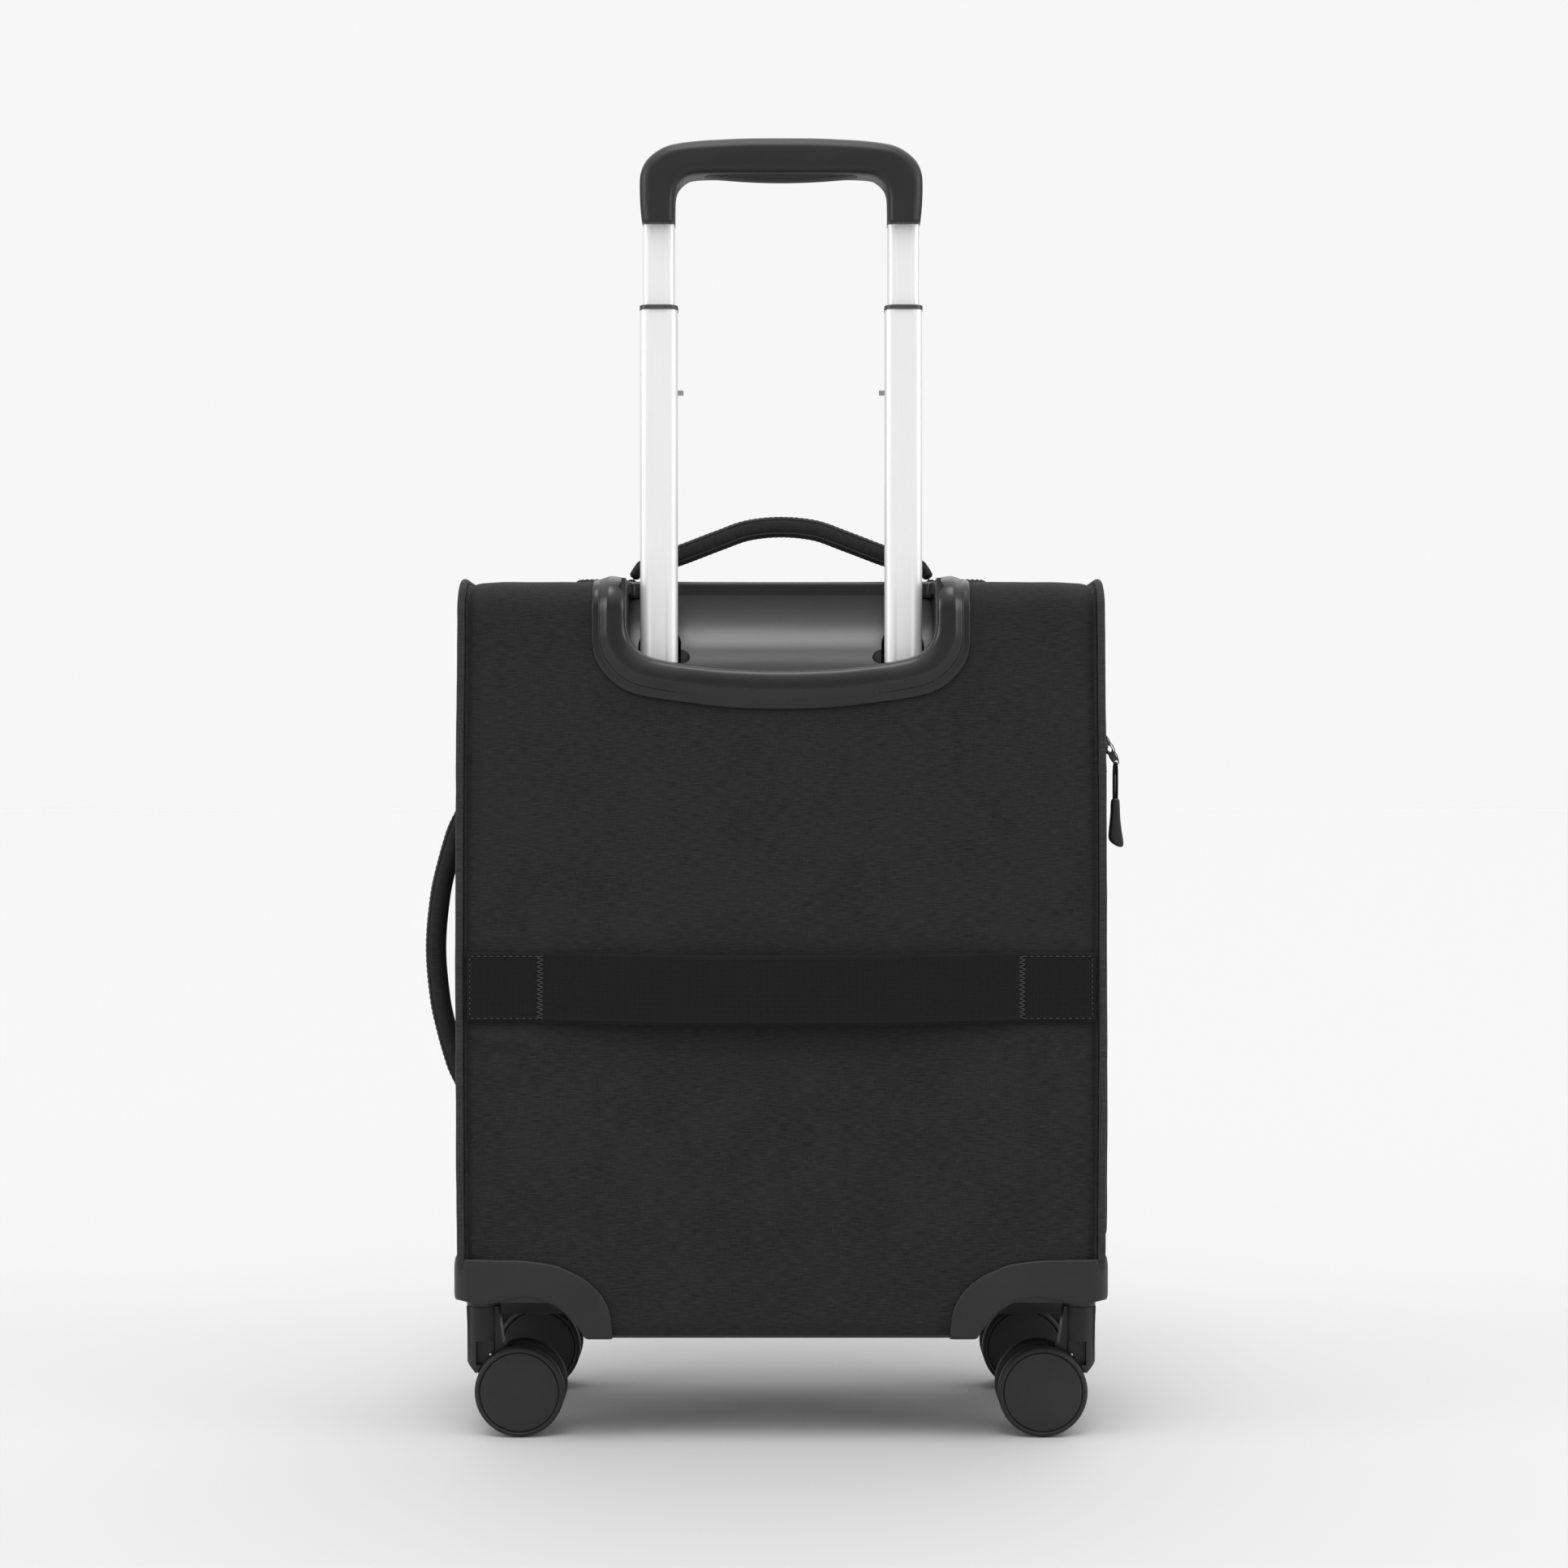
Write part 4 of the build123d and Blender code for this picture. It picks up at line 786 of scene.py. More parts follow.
gx, gz = np.meshgrid(np.linspace(-SEAM + 0.2, SEAM - 0.2, 221), np.linspace(STRAP_FOOT, STRAP_HEAD, 20))
edge_z = np.minimum(gz - STRAP_FOOT, STRAP_HEAD - gz)
lift = strap_out(gx, gz) + 0.25 * (1 - smooth(0, 1.6, edge_z))
pts = track(gx, BACK + lift, gz - 1.6 * loose(gx))
pts[..., 1] += 0.3 * noisy(pts, 0.03, 20)
grid("back_webbing", pts, "case", WEBBING, "webbing", thick=1.4, flip=True, replaces=("back_strap",))
for z_edge, name in ((STRAP_FOOT + 0.3, "lower"), (STRAP_HEAD - 0.3, "upper")):
    x = np.linspace(-SEAM + 0.5, SEAM - 0.5, 200)
    path = track(x, BACK + strap_out(x, z_edge) - 0.25, z_edge - 1.6 * loose(x))
    rod(f"webbing_selvedge_{name}", path, (0, 1, 0), (0.4, 0.42), "case", WEBBING, "webbing")
places = []
for side in (-1, 1):
    x = np.linspace(side * (SEAM - 2), side * SEWN, 40)
    for z in (STRAP_FOOT + 2.2, STRAP_HEAD - 2.4):
        places += stitch_run(track(x, BACK + strap_out(x, z) + 0.25, z), (0, 1, 0), 4.0, 2.3, 0.3)
    z = np.linspace(STRAP_FOOT + 3, STRAP_HEAD - 3, 20)
    places += stitch_run(track(side * (SEAM - 2.2), BACK + 1.2, z), (0, 1, 0), 3.2, 1.4, 0.35)
    steps = np.arange(29)
    zig = track(side * SEWN + np.where(steps % 2, 2.2, -2.2), BACK + 1.9,
                STRAP_FOOT + 2.0 + steps * (STRAP_HEAD - STRAP_FOOT - 4) / 28)
    n = np.array((0, 1.0, 0))
    for a, b in zip(zig, zig[1:]):
        d = b - a
        places.append(((a + b) / 2, d * 0.46, np.cross(d / np.linalg.norm(d), n) * 0.3, n * 0.35))
beads("strap_stitches", places, "case", THREAD, "webbing")


# ---- padded panels ------------------------------------------------------------------
def pillow(name, body, material, slot, centre, half, height, corner, edge, crown, frame_axes, step=5.0,
           rough=0.35,
           seed=0.0, relief=None, **more):
    """A padded panel with rounded corners. frame_axes are the directions of its width, length and face."""
    ax, az, an = (np.array(a, float) for a in frame_axes)
    c = np.array(centre, float)
    hx, hz = half

    def spread(h):
        near = [0, 0.15, 0.6, 1.3, 2.2, 3.4, 5.0, 7.2]
        count = max(4, int((2 * h - 2 * near[-1]) / step))
        middle = np.linspace(-h + near[-1], h - near[-1], count)
        return np.r_[[-h + d for d in near[:-1]], middle, [h - d for d in near[-2::-1]]]

    gx, gz = np.meshgrid(spread(hx), spread(hz))
    gap = np.minimum(hx - np.abs(gx), hz - np.abs(gz))
    t = np.clip(gap / edge, 0, 1)
    h = height * np.sqrt(np.clip(1 - (1 - t) ** 2.6, 0, 1))
    h = h + crown * (1 - (gx / hx) ** 2) * (1 - (gz / hz) ** 2)
    # the square's corners are drawn in onto quarter circles
    p, q = np.abs(gx) - (hx - corner), np.abs(gz) - (hz - corner)
    inside = (p > 0) & (q > 0)
    m, r = np.maximum(p, q), np.hypot(p, q)
    k = np.where(inside, m / np.maximum(r, 1e-6), 1)
    px = np.where(inside, np.sign(gx) * (hx - corner + p * k), gx)
    pz = np.where(inside, np.sign(gz) * (hz - corner + q * k), gz)
    if relief is not None:
        h = h + relief(px, pz) * t
    pts = c + px[..., None] * ax + pz[..., None] * az
    h = h + rough * t * noisy(pts, 0.03, seed) + 0.4 * rough * t * noisy(pts, 0.09, seed + 1)
    turn = float(np.dot(np.cross(ax, az), an)) < 0
    grid(name, pts + h[..., None] * an, body, material, slot, flip=turn, subdivide=1, **more)


# width, length and face of a panel that looks to each side of the frame
UPWARD = ((1, 0, 0), (0, 1, 0), (0, 0, 1))
DOWNWARD = ((1, 0, 0), (0, 1, 0), (0, 0, -1))
FORWARD = ((1, 0, 0), (0, 0, 1), (0, -1, 0))
LEFTWARD = ((0, 1, 0), (0, 0, 1), (1, 0, 0))
RIGHTWARD = ((0, 1, 0), (0, 0, 1), (-1, 0, 0))
lid_low, lid_high = limits("front_lid")
LID_MID = (lid_low[2] + lid_high[2]) / 2
LID_Y = lid_high[1]


pillow("lid_cloth", "lid", FABRIC, "case_fabric", (0, LID_Y, LID_MID),
       (lid_high[0], (lid_high[2] - lid_low[2]) / 2),
       10.2, corner=16, edge=7, crown=1.2, frame_axes=FORWARD, seed=31, thick=3,
       replaces=("front_lid",), lining=LINING)
cord = []
hx, hz, r = lid_high[0] - 0.6, (lid_high[2] - lid_low[2]) / 2 - 0.6, 16
for cx, cz, start in ((hx - r, hz - r, 0), (-hx + r, hz - r, 90),
                      (-hx + r, -hz + r, 180), (hx - r, -hz + r, 270)):
    turns = [math.radians(start + a) for a in (0, 15, 30, 45, 60, 75, 90)]
    cord += [(cx + r * math.cos(t), LID_Y - 5.4, LID_MID + cz + r * math.sin(t)) for t in turns]
rows = tube_rows(even_polyline(cord, 320), round_section(2.0, 2.0, 12), (0, 1, 0), closed=True)
grid("lid_piping", rows, "lid", PIPING, "piping_fabric", wrap=True, loop=True)

pocket_places = []
for word, seed in (("lower", 41), ("upper", 47)):
    low, high = limits(f"front_pocket_{word}")
    mid = (low[2] + high[2]) / 2
    tall = (high[2] - low[2]) / 2

    def sagging(x, z, tall=tall):
        return -1.8 * np.exp(-((z - tall * 0.82) / 9.0) ** 2) + 1.1 * np.exp(-((z + tall * 0.5) / (tall * 0.5)) ** 2)

    pillow(f"pocket_{word}_cloth", "lid", FABRIC, "case_fabric", (0, high[1], mid), (high[0] - 0.4, tall - 0.4),
           high[1] - low[1] - 2.4, corner=17, edge=10, crown=1.6, frame_axes=FORWARD, seed=seed, rough=0.7,
           thick=1.6, relief=sagging, replaces=(f"front_pocket_{word}",))
    row = track(np.linspace(-high[0] + 24, high[0] - 24, 60), low[1] + 2.6, high[2] - 12.0)
    pocket_places += stitch_run(row, (0, -1, 0), 4.4, 2.6, 0.3)


def zip_run(name, path, out, body, half, replaces=()):
    """Zip tape along a path, with two rows of coil teeth on it."""
    near = half * 0.9
    section = [(0, -half), (0.35, -near), (0.45, -2.6), (0.5, 0), (0.45, 2.6), (0.35, near), (0, half),
               (-0.35, near), (-0.35, -near)]
    grid(name + "_tape", tube_rows(path, section, out), body, TAPE, "zip_tape", wrap=True, caps=True,
         replaces=replaces)
    run = distances(path)
    places = []
    at = 1.0
    while at < run[-1] - 1:
        c = walk(path, run, at)
        d = walk(path, run, at + 0.5) - walk(path, run, at - 0.5)
        d /= np.linalg.norm(d)
        o = np.asarray(out, float)
        o = o - d * (o @ d)
        o /= np.linalg.norm(o)
        w = np.cross(d, o)
        for s in (-1, 1):
            places.append((c + o * 0.95 + w * s * 1.15 + d * 0.38 * s, w * 1.25, d * 0.42, o * 0.62))
        at += TOOTH_PITCH
    beads(name + "_teeth", places, body, TOOTH, "zip_tape")


def slider_body(name, body, centre, half, height, corner, axes, **more):
    """The rounded body of a zip slider."""
    pillow(name, body, BLACK_METAL, "slider_metal", centre, half, height, corner=corner, edge=1.2, crown=0.3,
           frame_axes=axes, step=1.5, rough=0, **more)


TOOTH_PITCH = 1.55
SLIDER_X = 118                  # where the pocket sliders are parked
for word in ("lower", "upper"):
    low, high = limits(f"front_pocket_{word}")
    y, z = (low[1] + high[1]) / 2, high[2]
    zip_run(f"pocket_zip_{word}", track(np.linspace(-145, 145, 80), y, z + 0.15), (0, 0, 1), "lid", 5.4,
            replaces=("pocket_zips",) if word == "lower" else ())
    slider_body(f"pocket_slider_{word}", "lid", (SLIDER_X, y, z + 1.2), (5.6, 3.8), 2.2, 2.8, UPWARD)
    eye = [(a - 11.4, b) for a, b in round_section(1.6, 1.3, 12)]
    plate(f"pocket_pull_{word}", round_section(15, 3.4, 28, 4), [eye],
          lambda a, b, h, y=y, z=z: (SLIDER_X - 15 - a, y + b, z + 4.6 + h), 1.7, "lid", RUBBER, "pull_rubber",
          edge=0.5)
beads("pocket_stitches", pocket_places, "lid", THREAD, "case_fabric")

sill_low, sill_high = limits("front_sill")
pillow("sill_cloth", "case", FABRIC, "case_fabric", (0, sill_high[1], (sill_low[2] + sill_high[2]) / 2),
       (sill_high[0] - 0.5, (sill_high[2] - sill_low[2]) / 2), sill_high[1] - sill_low[1] - 0.9,
       corner=3, edge=5, crown=0.6,
       frame_axes=FORWARD, seed=53, thick=2.4, replaces=("front_sill",))

# ---- main zip -----------------------------------------------------------------------
zip_low, zip_high = limits("main_zip")
ZIP_Y = (zip_low[1] + zip_high[1]) / 2
ZIP_X = zip_high[0] - 0.9
for side, word in ((1, "left"), (-1, "right")):
    path = track(side * ZIP_X, ZIP_Y, np.linspace(zip_low[2], TOP - 20, 160))
    zip_run(f"main_zip_{word}", path, (side, 0, 0), "case", 4.4, replaces=("main_zip",) if side > 0 else ())
path = track(np.linspace(-SEAM + 6, SEAM - 6, 160), ZIP_Y, TOP + 0.7)
zip_run("main_zip_top", path, (0, 0, 1), "case", 4.4)
for word, way in (("upper", 1), ("lower", -1)):
    node = f"main_slider_{word}"
    low, high = limits(node)
    x, y, z = low[0], (low[1] + high[1]) / 2, (low[2] + high[2]) / 2
    slider_body(f"slider_{word}_body", node, (x + 0.3, y, z), (3.9, 5.8), 2.3, 2.6, LEFTWARD, replaces=(node,))
    path = [(x + 2.2, y, z + 3.6), (x + 4.6, y, z + 1.5), (x + 4.6, y, z - 1.5), (x + 2.2, y, z - 3.6)]
    rod(f"slider_{word}_bridge", curve_through(path, 16), (0, 1, 0), (0.7, 1.1), node,
        BLACK_METAL, "slider_metal")
    eye = [(a - 5.6, b) for a, b in round_section(1.5, 1.1, 12)]
    plate(f"slider_{word}_pull", round_section(8.6, 2.5, 24, 3.5), [eye],
          lambda a, b, h, x=x, y=y, z=z, way=way: (x + 5.3 + h, y + b, z + way * (a + 6.0)), 1.1, node,
          BLACK_METAL, "slider_metal", edge=0.3)

# ---- side pocket --------------------------------------------------------------------
pocket_low, pocket_high = limits("side_pocket")
OUT_X = -pocket_low[0]
pz_mid, pz_half = (pocket_low[2] + pocket_high[2]) / 2, (pocket_high[2] - pocket_low[2]) / 2
py_mid, py_half = (pocket_low[1] + pocket_high[1]) / 2, (pocket_high[1] - pocket_low[1]) / 2


def pocket_slope(y, z):
    """The pocket's mouth slopes in to the side over its top 17 mm, and its middle swells."""
    down = pz_half - z
    slope = -(OUT_X - SIDE) * (1 - smooth(0, 19, down)) * 0.85
    return slope + 3.4 * np.exp(-((z + 35) / 95) ** 2) * np.clip(1 - (y / py_half) ** 2, 0, 1)


pillow("side_pocket_cloth", "case", FABRIC, "case_fabric", (-SIDE - 1.4, py_mid, pz_mid), (py_half, pz_half),
       OUT_X - SIDE - 0.4, corner=8, edge=4, crown=0.4, frame_axes=RIGHTWARD, seed=61, thick=1.5,
       relief=pocket_slope, replaces=("side_pocket",))
mouth_low, mouth_high = limits("side_pocket_zip")
zip_out = (-0.943, 0, 0.333)
path = track(-SIDE - 4.6, np.linspace(mouth_low[1], mouth_high[1], 60),
             (mouth_low[2] + mouth_high[2]) / 2 + 0.6)
zip_run("side_pocket_zip_run", path, zip_out, "case", 5.6, replaces=("side_pocket_zip",))
places = []
for z, off in ((pocket_high[2] - 24, 1.6), (pocket_low[2] + 8, 1.1)):
    y = np.linspace(pocket_low[1] + 7, pocket_high[1] - 7, 50)
    places += stitch_run(track(-OUT_X - off, y, z), (-1, 0, 0), 4.0, 2.4, 0.3)
beads("side_pocket_stitches", places, "case", THREAD, "case_fabric")
x, y, z = [(a + b) / 2 for a, b in zip(*limits("side_pocket_slider"))]
up = (0.333, 0, 0.943)
slider_body("side_slider_body", "side_pocket_slider", (x + 2.0, y, z - 0.8), (5.4, 4.3), 2.4, 2.8,
            ((0, 1, 0), up, zip_out), replaces=("side_pocket_slider",))
bridge = [(x + 0.6 + 3.2 * up[0], y, z + 3.2 * up[2] - 0.4), (x - 2.6 + 2.0 * up[0], y, z + 2.6 * up[2]),
          (x - 2.6 - 2.0 * up[0], y, z - 1.2 * up[2]), (x + 0.6 - 3.2 * up[0], y, z - 3.6 * up[2])]
rod("side_slider_bridge", curve_through(bridge, 16), (0, 1, 0), (0.8, 1.2), "side_pocket_slider", BLACK_METAL,
    "slider_metal")

link_low, link_high = limits("side_pocket_link")
link_top = np.array((link_high[0] - 1.6, HANDLE_DEPTH, link_high[2] - 2.2))
link_end = np.array((link_low[0] + 2.2, HANDLE_DEPTH, link_low[2] + 2.4))
link_len = float(np.linalg.norm(link_top - link_end))
link_dir = (link_top - link_end) / link_len
link_side = np.cross((0, 1, 0), link_dir)
middle = (link_top + link_end) / 2
outline = []
for k in range(72):
    a = TAU * k / 72
    u, v = (link_len / 2 + 1.9) * math.cos(a), 3.1 * math.sin(a)
    waist = 1 - 0.16 * math.exp(-((abs(u) - 3.6) / 1.3) ** 2)
    outline.append((u, v * waist * (1 + 0.25 * abs(math.cos(a)) ** 4)))
holes = [[(a + x0, b) for a, b in round_section(rx, ry, 16)] for x0, rx, ry in
         ((-link_len / 2 - 0.1, 1.15, 1.35), (0.1, 2.2, 1.35), (link_len / 2 - 0.5, 1.5, 1.3))]
plate("side_pull_link", outline, holes,
      lambda a, b, h: tuple(middle + link_dir * a + np.array((0, 1, 0)) * h + link_side * b), 1.8,
      "side_pocket_slider", BLACK_METAL, "slider_metal", edge=0.5, replaces=("side_pocket_link",))

pull_low, pull_high = limits("side_pocket_pull")
tab_top = pull_low[2] + 32
cord_x = link_end[0] + 0.6
loop = curve_through([(cord_x + 0.9, HANDLE_DEPTH, tab_top - 4), (cord_x + 1.0, HANDLE_DEPTH, tab_top + 6),
                      (cord_x + 0.9, HANDLE_DEPTH, link_end[2] - 5), (cord_x + 0.3, HANDLE_DEPTH, link_end[2] - 0.6),
                      (cord_x - 0.5, HANDLE_DEPTH, link_end[2] - 1.0), (cord_x - 0.9, HANDLE_DEPTH, link_end[2] - 6),
                      (cord_x - 0.9, HANDLE_DEPTH, tab_top + 6), (cord_x - 0.8, HANDLE_DEPTH, tab_top - 4)], 80)
rope = [(0.95 + 0.1 * math.cos(6 * a / 12 * TAU)) for a in range(12)]
section = [(r * 0.95 * math.cos(a / 12 * TAU), r * 0.95 * math.sin(a / 12 * TAU)) for a, r in enumerate(rope)]
grid("side_pull_cord", tube_rows(loop, section, (0, 1, 0)), "side_pocket_pull", WEBBING, "pull_rubber",
     wrap=True, caps=True)
tab_line = [(cord_x + 1.9, tab_top), (cord_x + 2.8, tab_top - 3), (cord_x + 3.0, tab_top - 9),
            (cord_x + 3.6, tab_top - 16),
            (cord_x + 4.2, tab_top - 22), (cord_x + 4.0, tab_top - 26.5), (cord_x + 1.4, tab_top - 29.5),
            (cord_x - 2.4, tab_top - 31.4), (cord_x - 4.6, tab_top - 31.0), (cord_x - 5.0, tab_top - 28),
            (cord_x - 3.8, tab_top - 20), (cord_x - 2.9, tab_top - 12), (cord_x - 2.6, tab_top - 4),
            (cord_x - 1.9, tab_top)]
tab_line = [tuple(p) for p in curve_through(tab_line, 64, closed=True)]
plate("side_pull_tab", tab_line, [], lambda a, b, h: (a, HANDLE_DEPTH + h, b), 7.4, "side_pocket_pull", RUBBER,
      "pull_rubber", edge=1.5, replaces=("side_pocket_pull",))

# ---- carry handles ------------------------------------------------------------------
def carry_handle(node, line, full, section, out, wave, seed, welts, threads):
    """A padded handle along a line, flatter where full is below 1, with corded welts and rows of stitches."""
    scale = [(0.5 + 0.5 * f, 1.1 - 0.1 * f) for f in full]

    def lane(place):
        return tube_rows(line, [place], out, scale=scale)[6:-6, 0]

    rows = tube_rows(line, section, out, scale=scale)
    rows += 0.22 * noisy(rows, 0.05, seed)[..., None] * np.array(wave)
    pad = grid(f"{node}_pad", rows, node, FABRIC_FINE, "handle_fabric", wrap=True, caps=True, subdivide=1,
               replaces=(node,))
    for k, place in enumerate(welts):
        rod(f"{node}_seam_{k}", lane(place), (0, 1, 0), (0.75, 0.75), node, PIPING, "handle_fabric")
    seams = []
    for place, normal in threads:
        seams += stitch_run(lane(place), normal, 3.4, 2.0, 0.26)
    beads(f"{node}_stitches", seams, node, THREAD, "handle_fabric")


half_path = [(-97.6, -37.3), (-95.6, -31.9), (-89, -25.7), (-68, -19.5), (-41, -9.3), (-22, -2.7)]
path = half_path + [(0, -0.5)] + [(-x, z) for x, z in half_path[::-1]]
crest_z = limits("top_handle")[1][2] - 6.9
line = curve_through([(x, HANDLE_DEPTH, crest_z + z) for x, z in path], 120)
padded_section = round_section(6.7, 8.4, 22, 2.3)
corners = [(i, j) for i in (1, -1) for j in (1, -1)]
carry_handle("top_handle", line, smooth(97, 80, np.abs(line[:, 0])), padded_section,
             lambda c: (-c[0] * 0.004, 0, 1), (0, 1.0, 0.3), 71, [(4.6 * i, 6.6 * j) for i, j in corners],
             [((6.18 * i, 4.12 * j), (0, 0.6 * j, 0.8 * i)) for i, j in corners])

half_path = [(203.2, -97), (207.6, -91), (212.6, -76), (218.4, -56), (223.4, -33)]
path = half_path + [(handle_high[0] - 7.0, 0)] + [(x, -z) for x, z in half_path[::-1]]
line = curve_through([(x, HANDLE_DEPTH, HANDLE_MID + z) for x, z in path], 120)
carry_handle("side_handle", line, smooth(98, 74, np.abs(line[:, 2] - HANDLE_MID)),
             [(a * 0.98, b) for a, b in padded_section], (1, 0, 0), (0.3, 1.0, 0), 73,
             [(4.5, 6.6 * j) for j in (1, -1)], [((6.05, 4.0 * j), (0.9, 0.4 * j, 0)) for j in (1, -1)])


def sewn_foot(kind, word, centre, half, low, crown, axes, seed, ring_half, ring_height, replaces):
    """A handle's sewn foot: two layers of cloth and a ring of stitches."""
    for layer, inset in enumerate((0, 3.4)):
        pillow(f"{kind}_anchor_{word}_{layer}", "case", FABRIC_FINE, "case_fabric", centre,
               [h - inset for h in half], low + 2 * layer, corner=8 - inset, edge=3.4, crown=crown,
               frame_axes=axes, step=3, rough=0.2, seed=seed, replaces=replaces if layer == 0 else ())
    across, along, out = (np.array(a, float) for a in axes)
    ring = [np.array(centre) + across * a + along * b + out * ring_height
            for a, b in round_section(*ring_half, 24, 4)]
    beads(f"{kind}_anchor_stitches_{word}", stitch_run(curve_through(ring, 90, closed=True), out,
          3.2, 2.0, 0.28),
          "case", THREAD, "case_fabric")


anchor_x = limits("top_handle_anchors")[1][0] - 19
for side, word in ((1, "left"), (-1, "right")):
    sewn_foot("top", word, (side * anchor_x, HANDLE_DEPTH, TOP + 0.4), (19, 15), 2.4, 0.9, UPWARD, 81 + side,
              (12.6, 8.8), 4.8, ("top_handle_anchors",) if side > 0 else ())
for end, word in ((1, "upper"), (-1, "lower")):
    sewn_foot("side", word, (SIDE + 1.6, HANDLE_DEPTH, HANDLE_MID + end * 113.5), (15, 18), 2.6, 0.6, LEFTWARD,
              91 + end, (8.8, 11.6), 5.1, ("side_handle_anchors",) if end > 0 else ())

# ---- pull handle --------------------------------------------------------------------
def tube_outline(width, depth):
    """Section of a handle tube: two round lobes with a wide shallow channel between them."""
    a, b = width / 2, depth / 2
    pts = []
    for k in range(96):
        t = TAU * k / 96
        c, s = math.cos(t), math.sin(t)
        x = a * math.copysign(abs(c) ** 0.62, c)
        y = b * math.copysign(abs(s) ** 0.5, s)
        if abs(s) > 0.3:
            y -= math.copysign(0.7, s) * float(smooth(0.42, 0.27, abs(x) / width * 1.5))
        pts.append((x, y))
    return pts


for node, body, width, depth, short in (("middle_tubes", "middle_stage", 23.7, 19.4, 0.05),
                                        ("upper_tubes", "upper_stage", 20.0, 14.2, 0)):
    low, high = limits(node)
    cy = (low[1] + high[1]) / 2
    cx = high[0] - width / 2
    for side, word in ((1, "left"), (-1, "right")):
        outline = tube_outline(width, depth)
        rows = [[(side * cx + a, cy + b, z) for a, b in outline]
                for z in np.linspace(low[2], high[2] - short, 9)]
        grid(f"{node}_{word}", rows, body, ALUMINIUM, "tube_aluminium", wrap=True, caps=True,
             replaces=(node,) if side > 0 else ())

grip_low, grip_high = limits("grip")
GRIP_Y = (grip_low[1] + grip_high[1]) / 2
gz0, gz1 = grip_low[2], grip_high[2]
outer_line = [(88, gz0), (89.2, gz0 + 12), (89.6, gz0 + 26), (88.7, gz0 + 33.5), (85.2, gz0 + 40.6),
              (78.1, gz0 + 46.8),
              (69.3, gz0 + 50.6), (53.6, gz0 + 52.9), (36, gz0 + 54.0), (20.2, gz0 + 54.6), (0, gz1)]
inner_line = [(67.2, gz0), (67.2, gz0 + 9), (67, gz0 + 17.5), (66.2, gz0 + 22), (64.2, gz0 + 25.6),
              (61, gz0 + 28.6),
              (57, gz0 + 30.6), (48, gz0 + 31.4), (34, gz0 + 31.5), (18, gz0 + 31.5), (0, gz0 + 31.5)]
pairs = [(*a, *b) for a, b in zip(outer_line, inner_line)]
pairs = pairs + [(-a, b, -c, d) for a, b, c, d in pairs[-2::-1]]
stations = curve_through(pairs, 150)
half_y = (grip_high[1] - grip_low[1]) / 2
rows = []
for ox, oz, ix, iz in stations:
    o, i = np.array((ox, oz)), np.array((ix, iz))
    w = float(np.linalg.norm(o - i))
    d = (i - o) / w
    ridge = 6.4
    section = [(0.0, 0.52), (0.5, 0.66), (1.4, 0.78), (3.4, 0.9), (ridge - 0.5, 0.985), (ridge + 0.4, 1.0),
               (w / 2 + 0.6, 1.0), (w - 4.6, 0.995), (w - 3.0, 0.95), (w - 1.2, 0.84),
               (w - 0.3, 0.66), (w, 0.5)]
    loop = [(s, h) for s, h in section] + [(s, -h) for s, h in section[::-1]]
    rows.append([((o + d * s)[0], GRIP_Y + h * half_y, (o + d * s)[1]) for s, h in loop])
grid("grip_shell", rows, "upper_stage", GRIP, "grip_plastic", wrap=True, caps=True, subdivide=1,
     replaces=("grip",))

insert_low, insert_high = limits("grip_insert")
pillow("grip_pad", "upper_stage", SOFT_GRIP, "grip_rubber", (0, GRIP_Y, insert_high[2] + 0.6),
       (insert_high[0], 6.6), 0.5,
       corner=5, edge=2.6, crown=3.7, frame_axes=DOWNWARD, step=4, rough=0,
       replaces=("grip_insert",))
button_low, button_high = limits("release_button")
pillow("button_cap", "release_button", BUTTON, "button_plastic", (0, GRIP_Y, button_low[2]), (20, 5.5),
       button_high[2] - button_low[2] + 0.35, corner=3.6, edge=1.4, crown=0.25, frame_axes=UPWARD, step=3,
       rough=0,
       replaces=("release_button",))

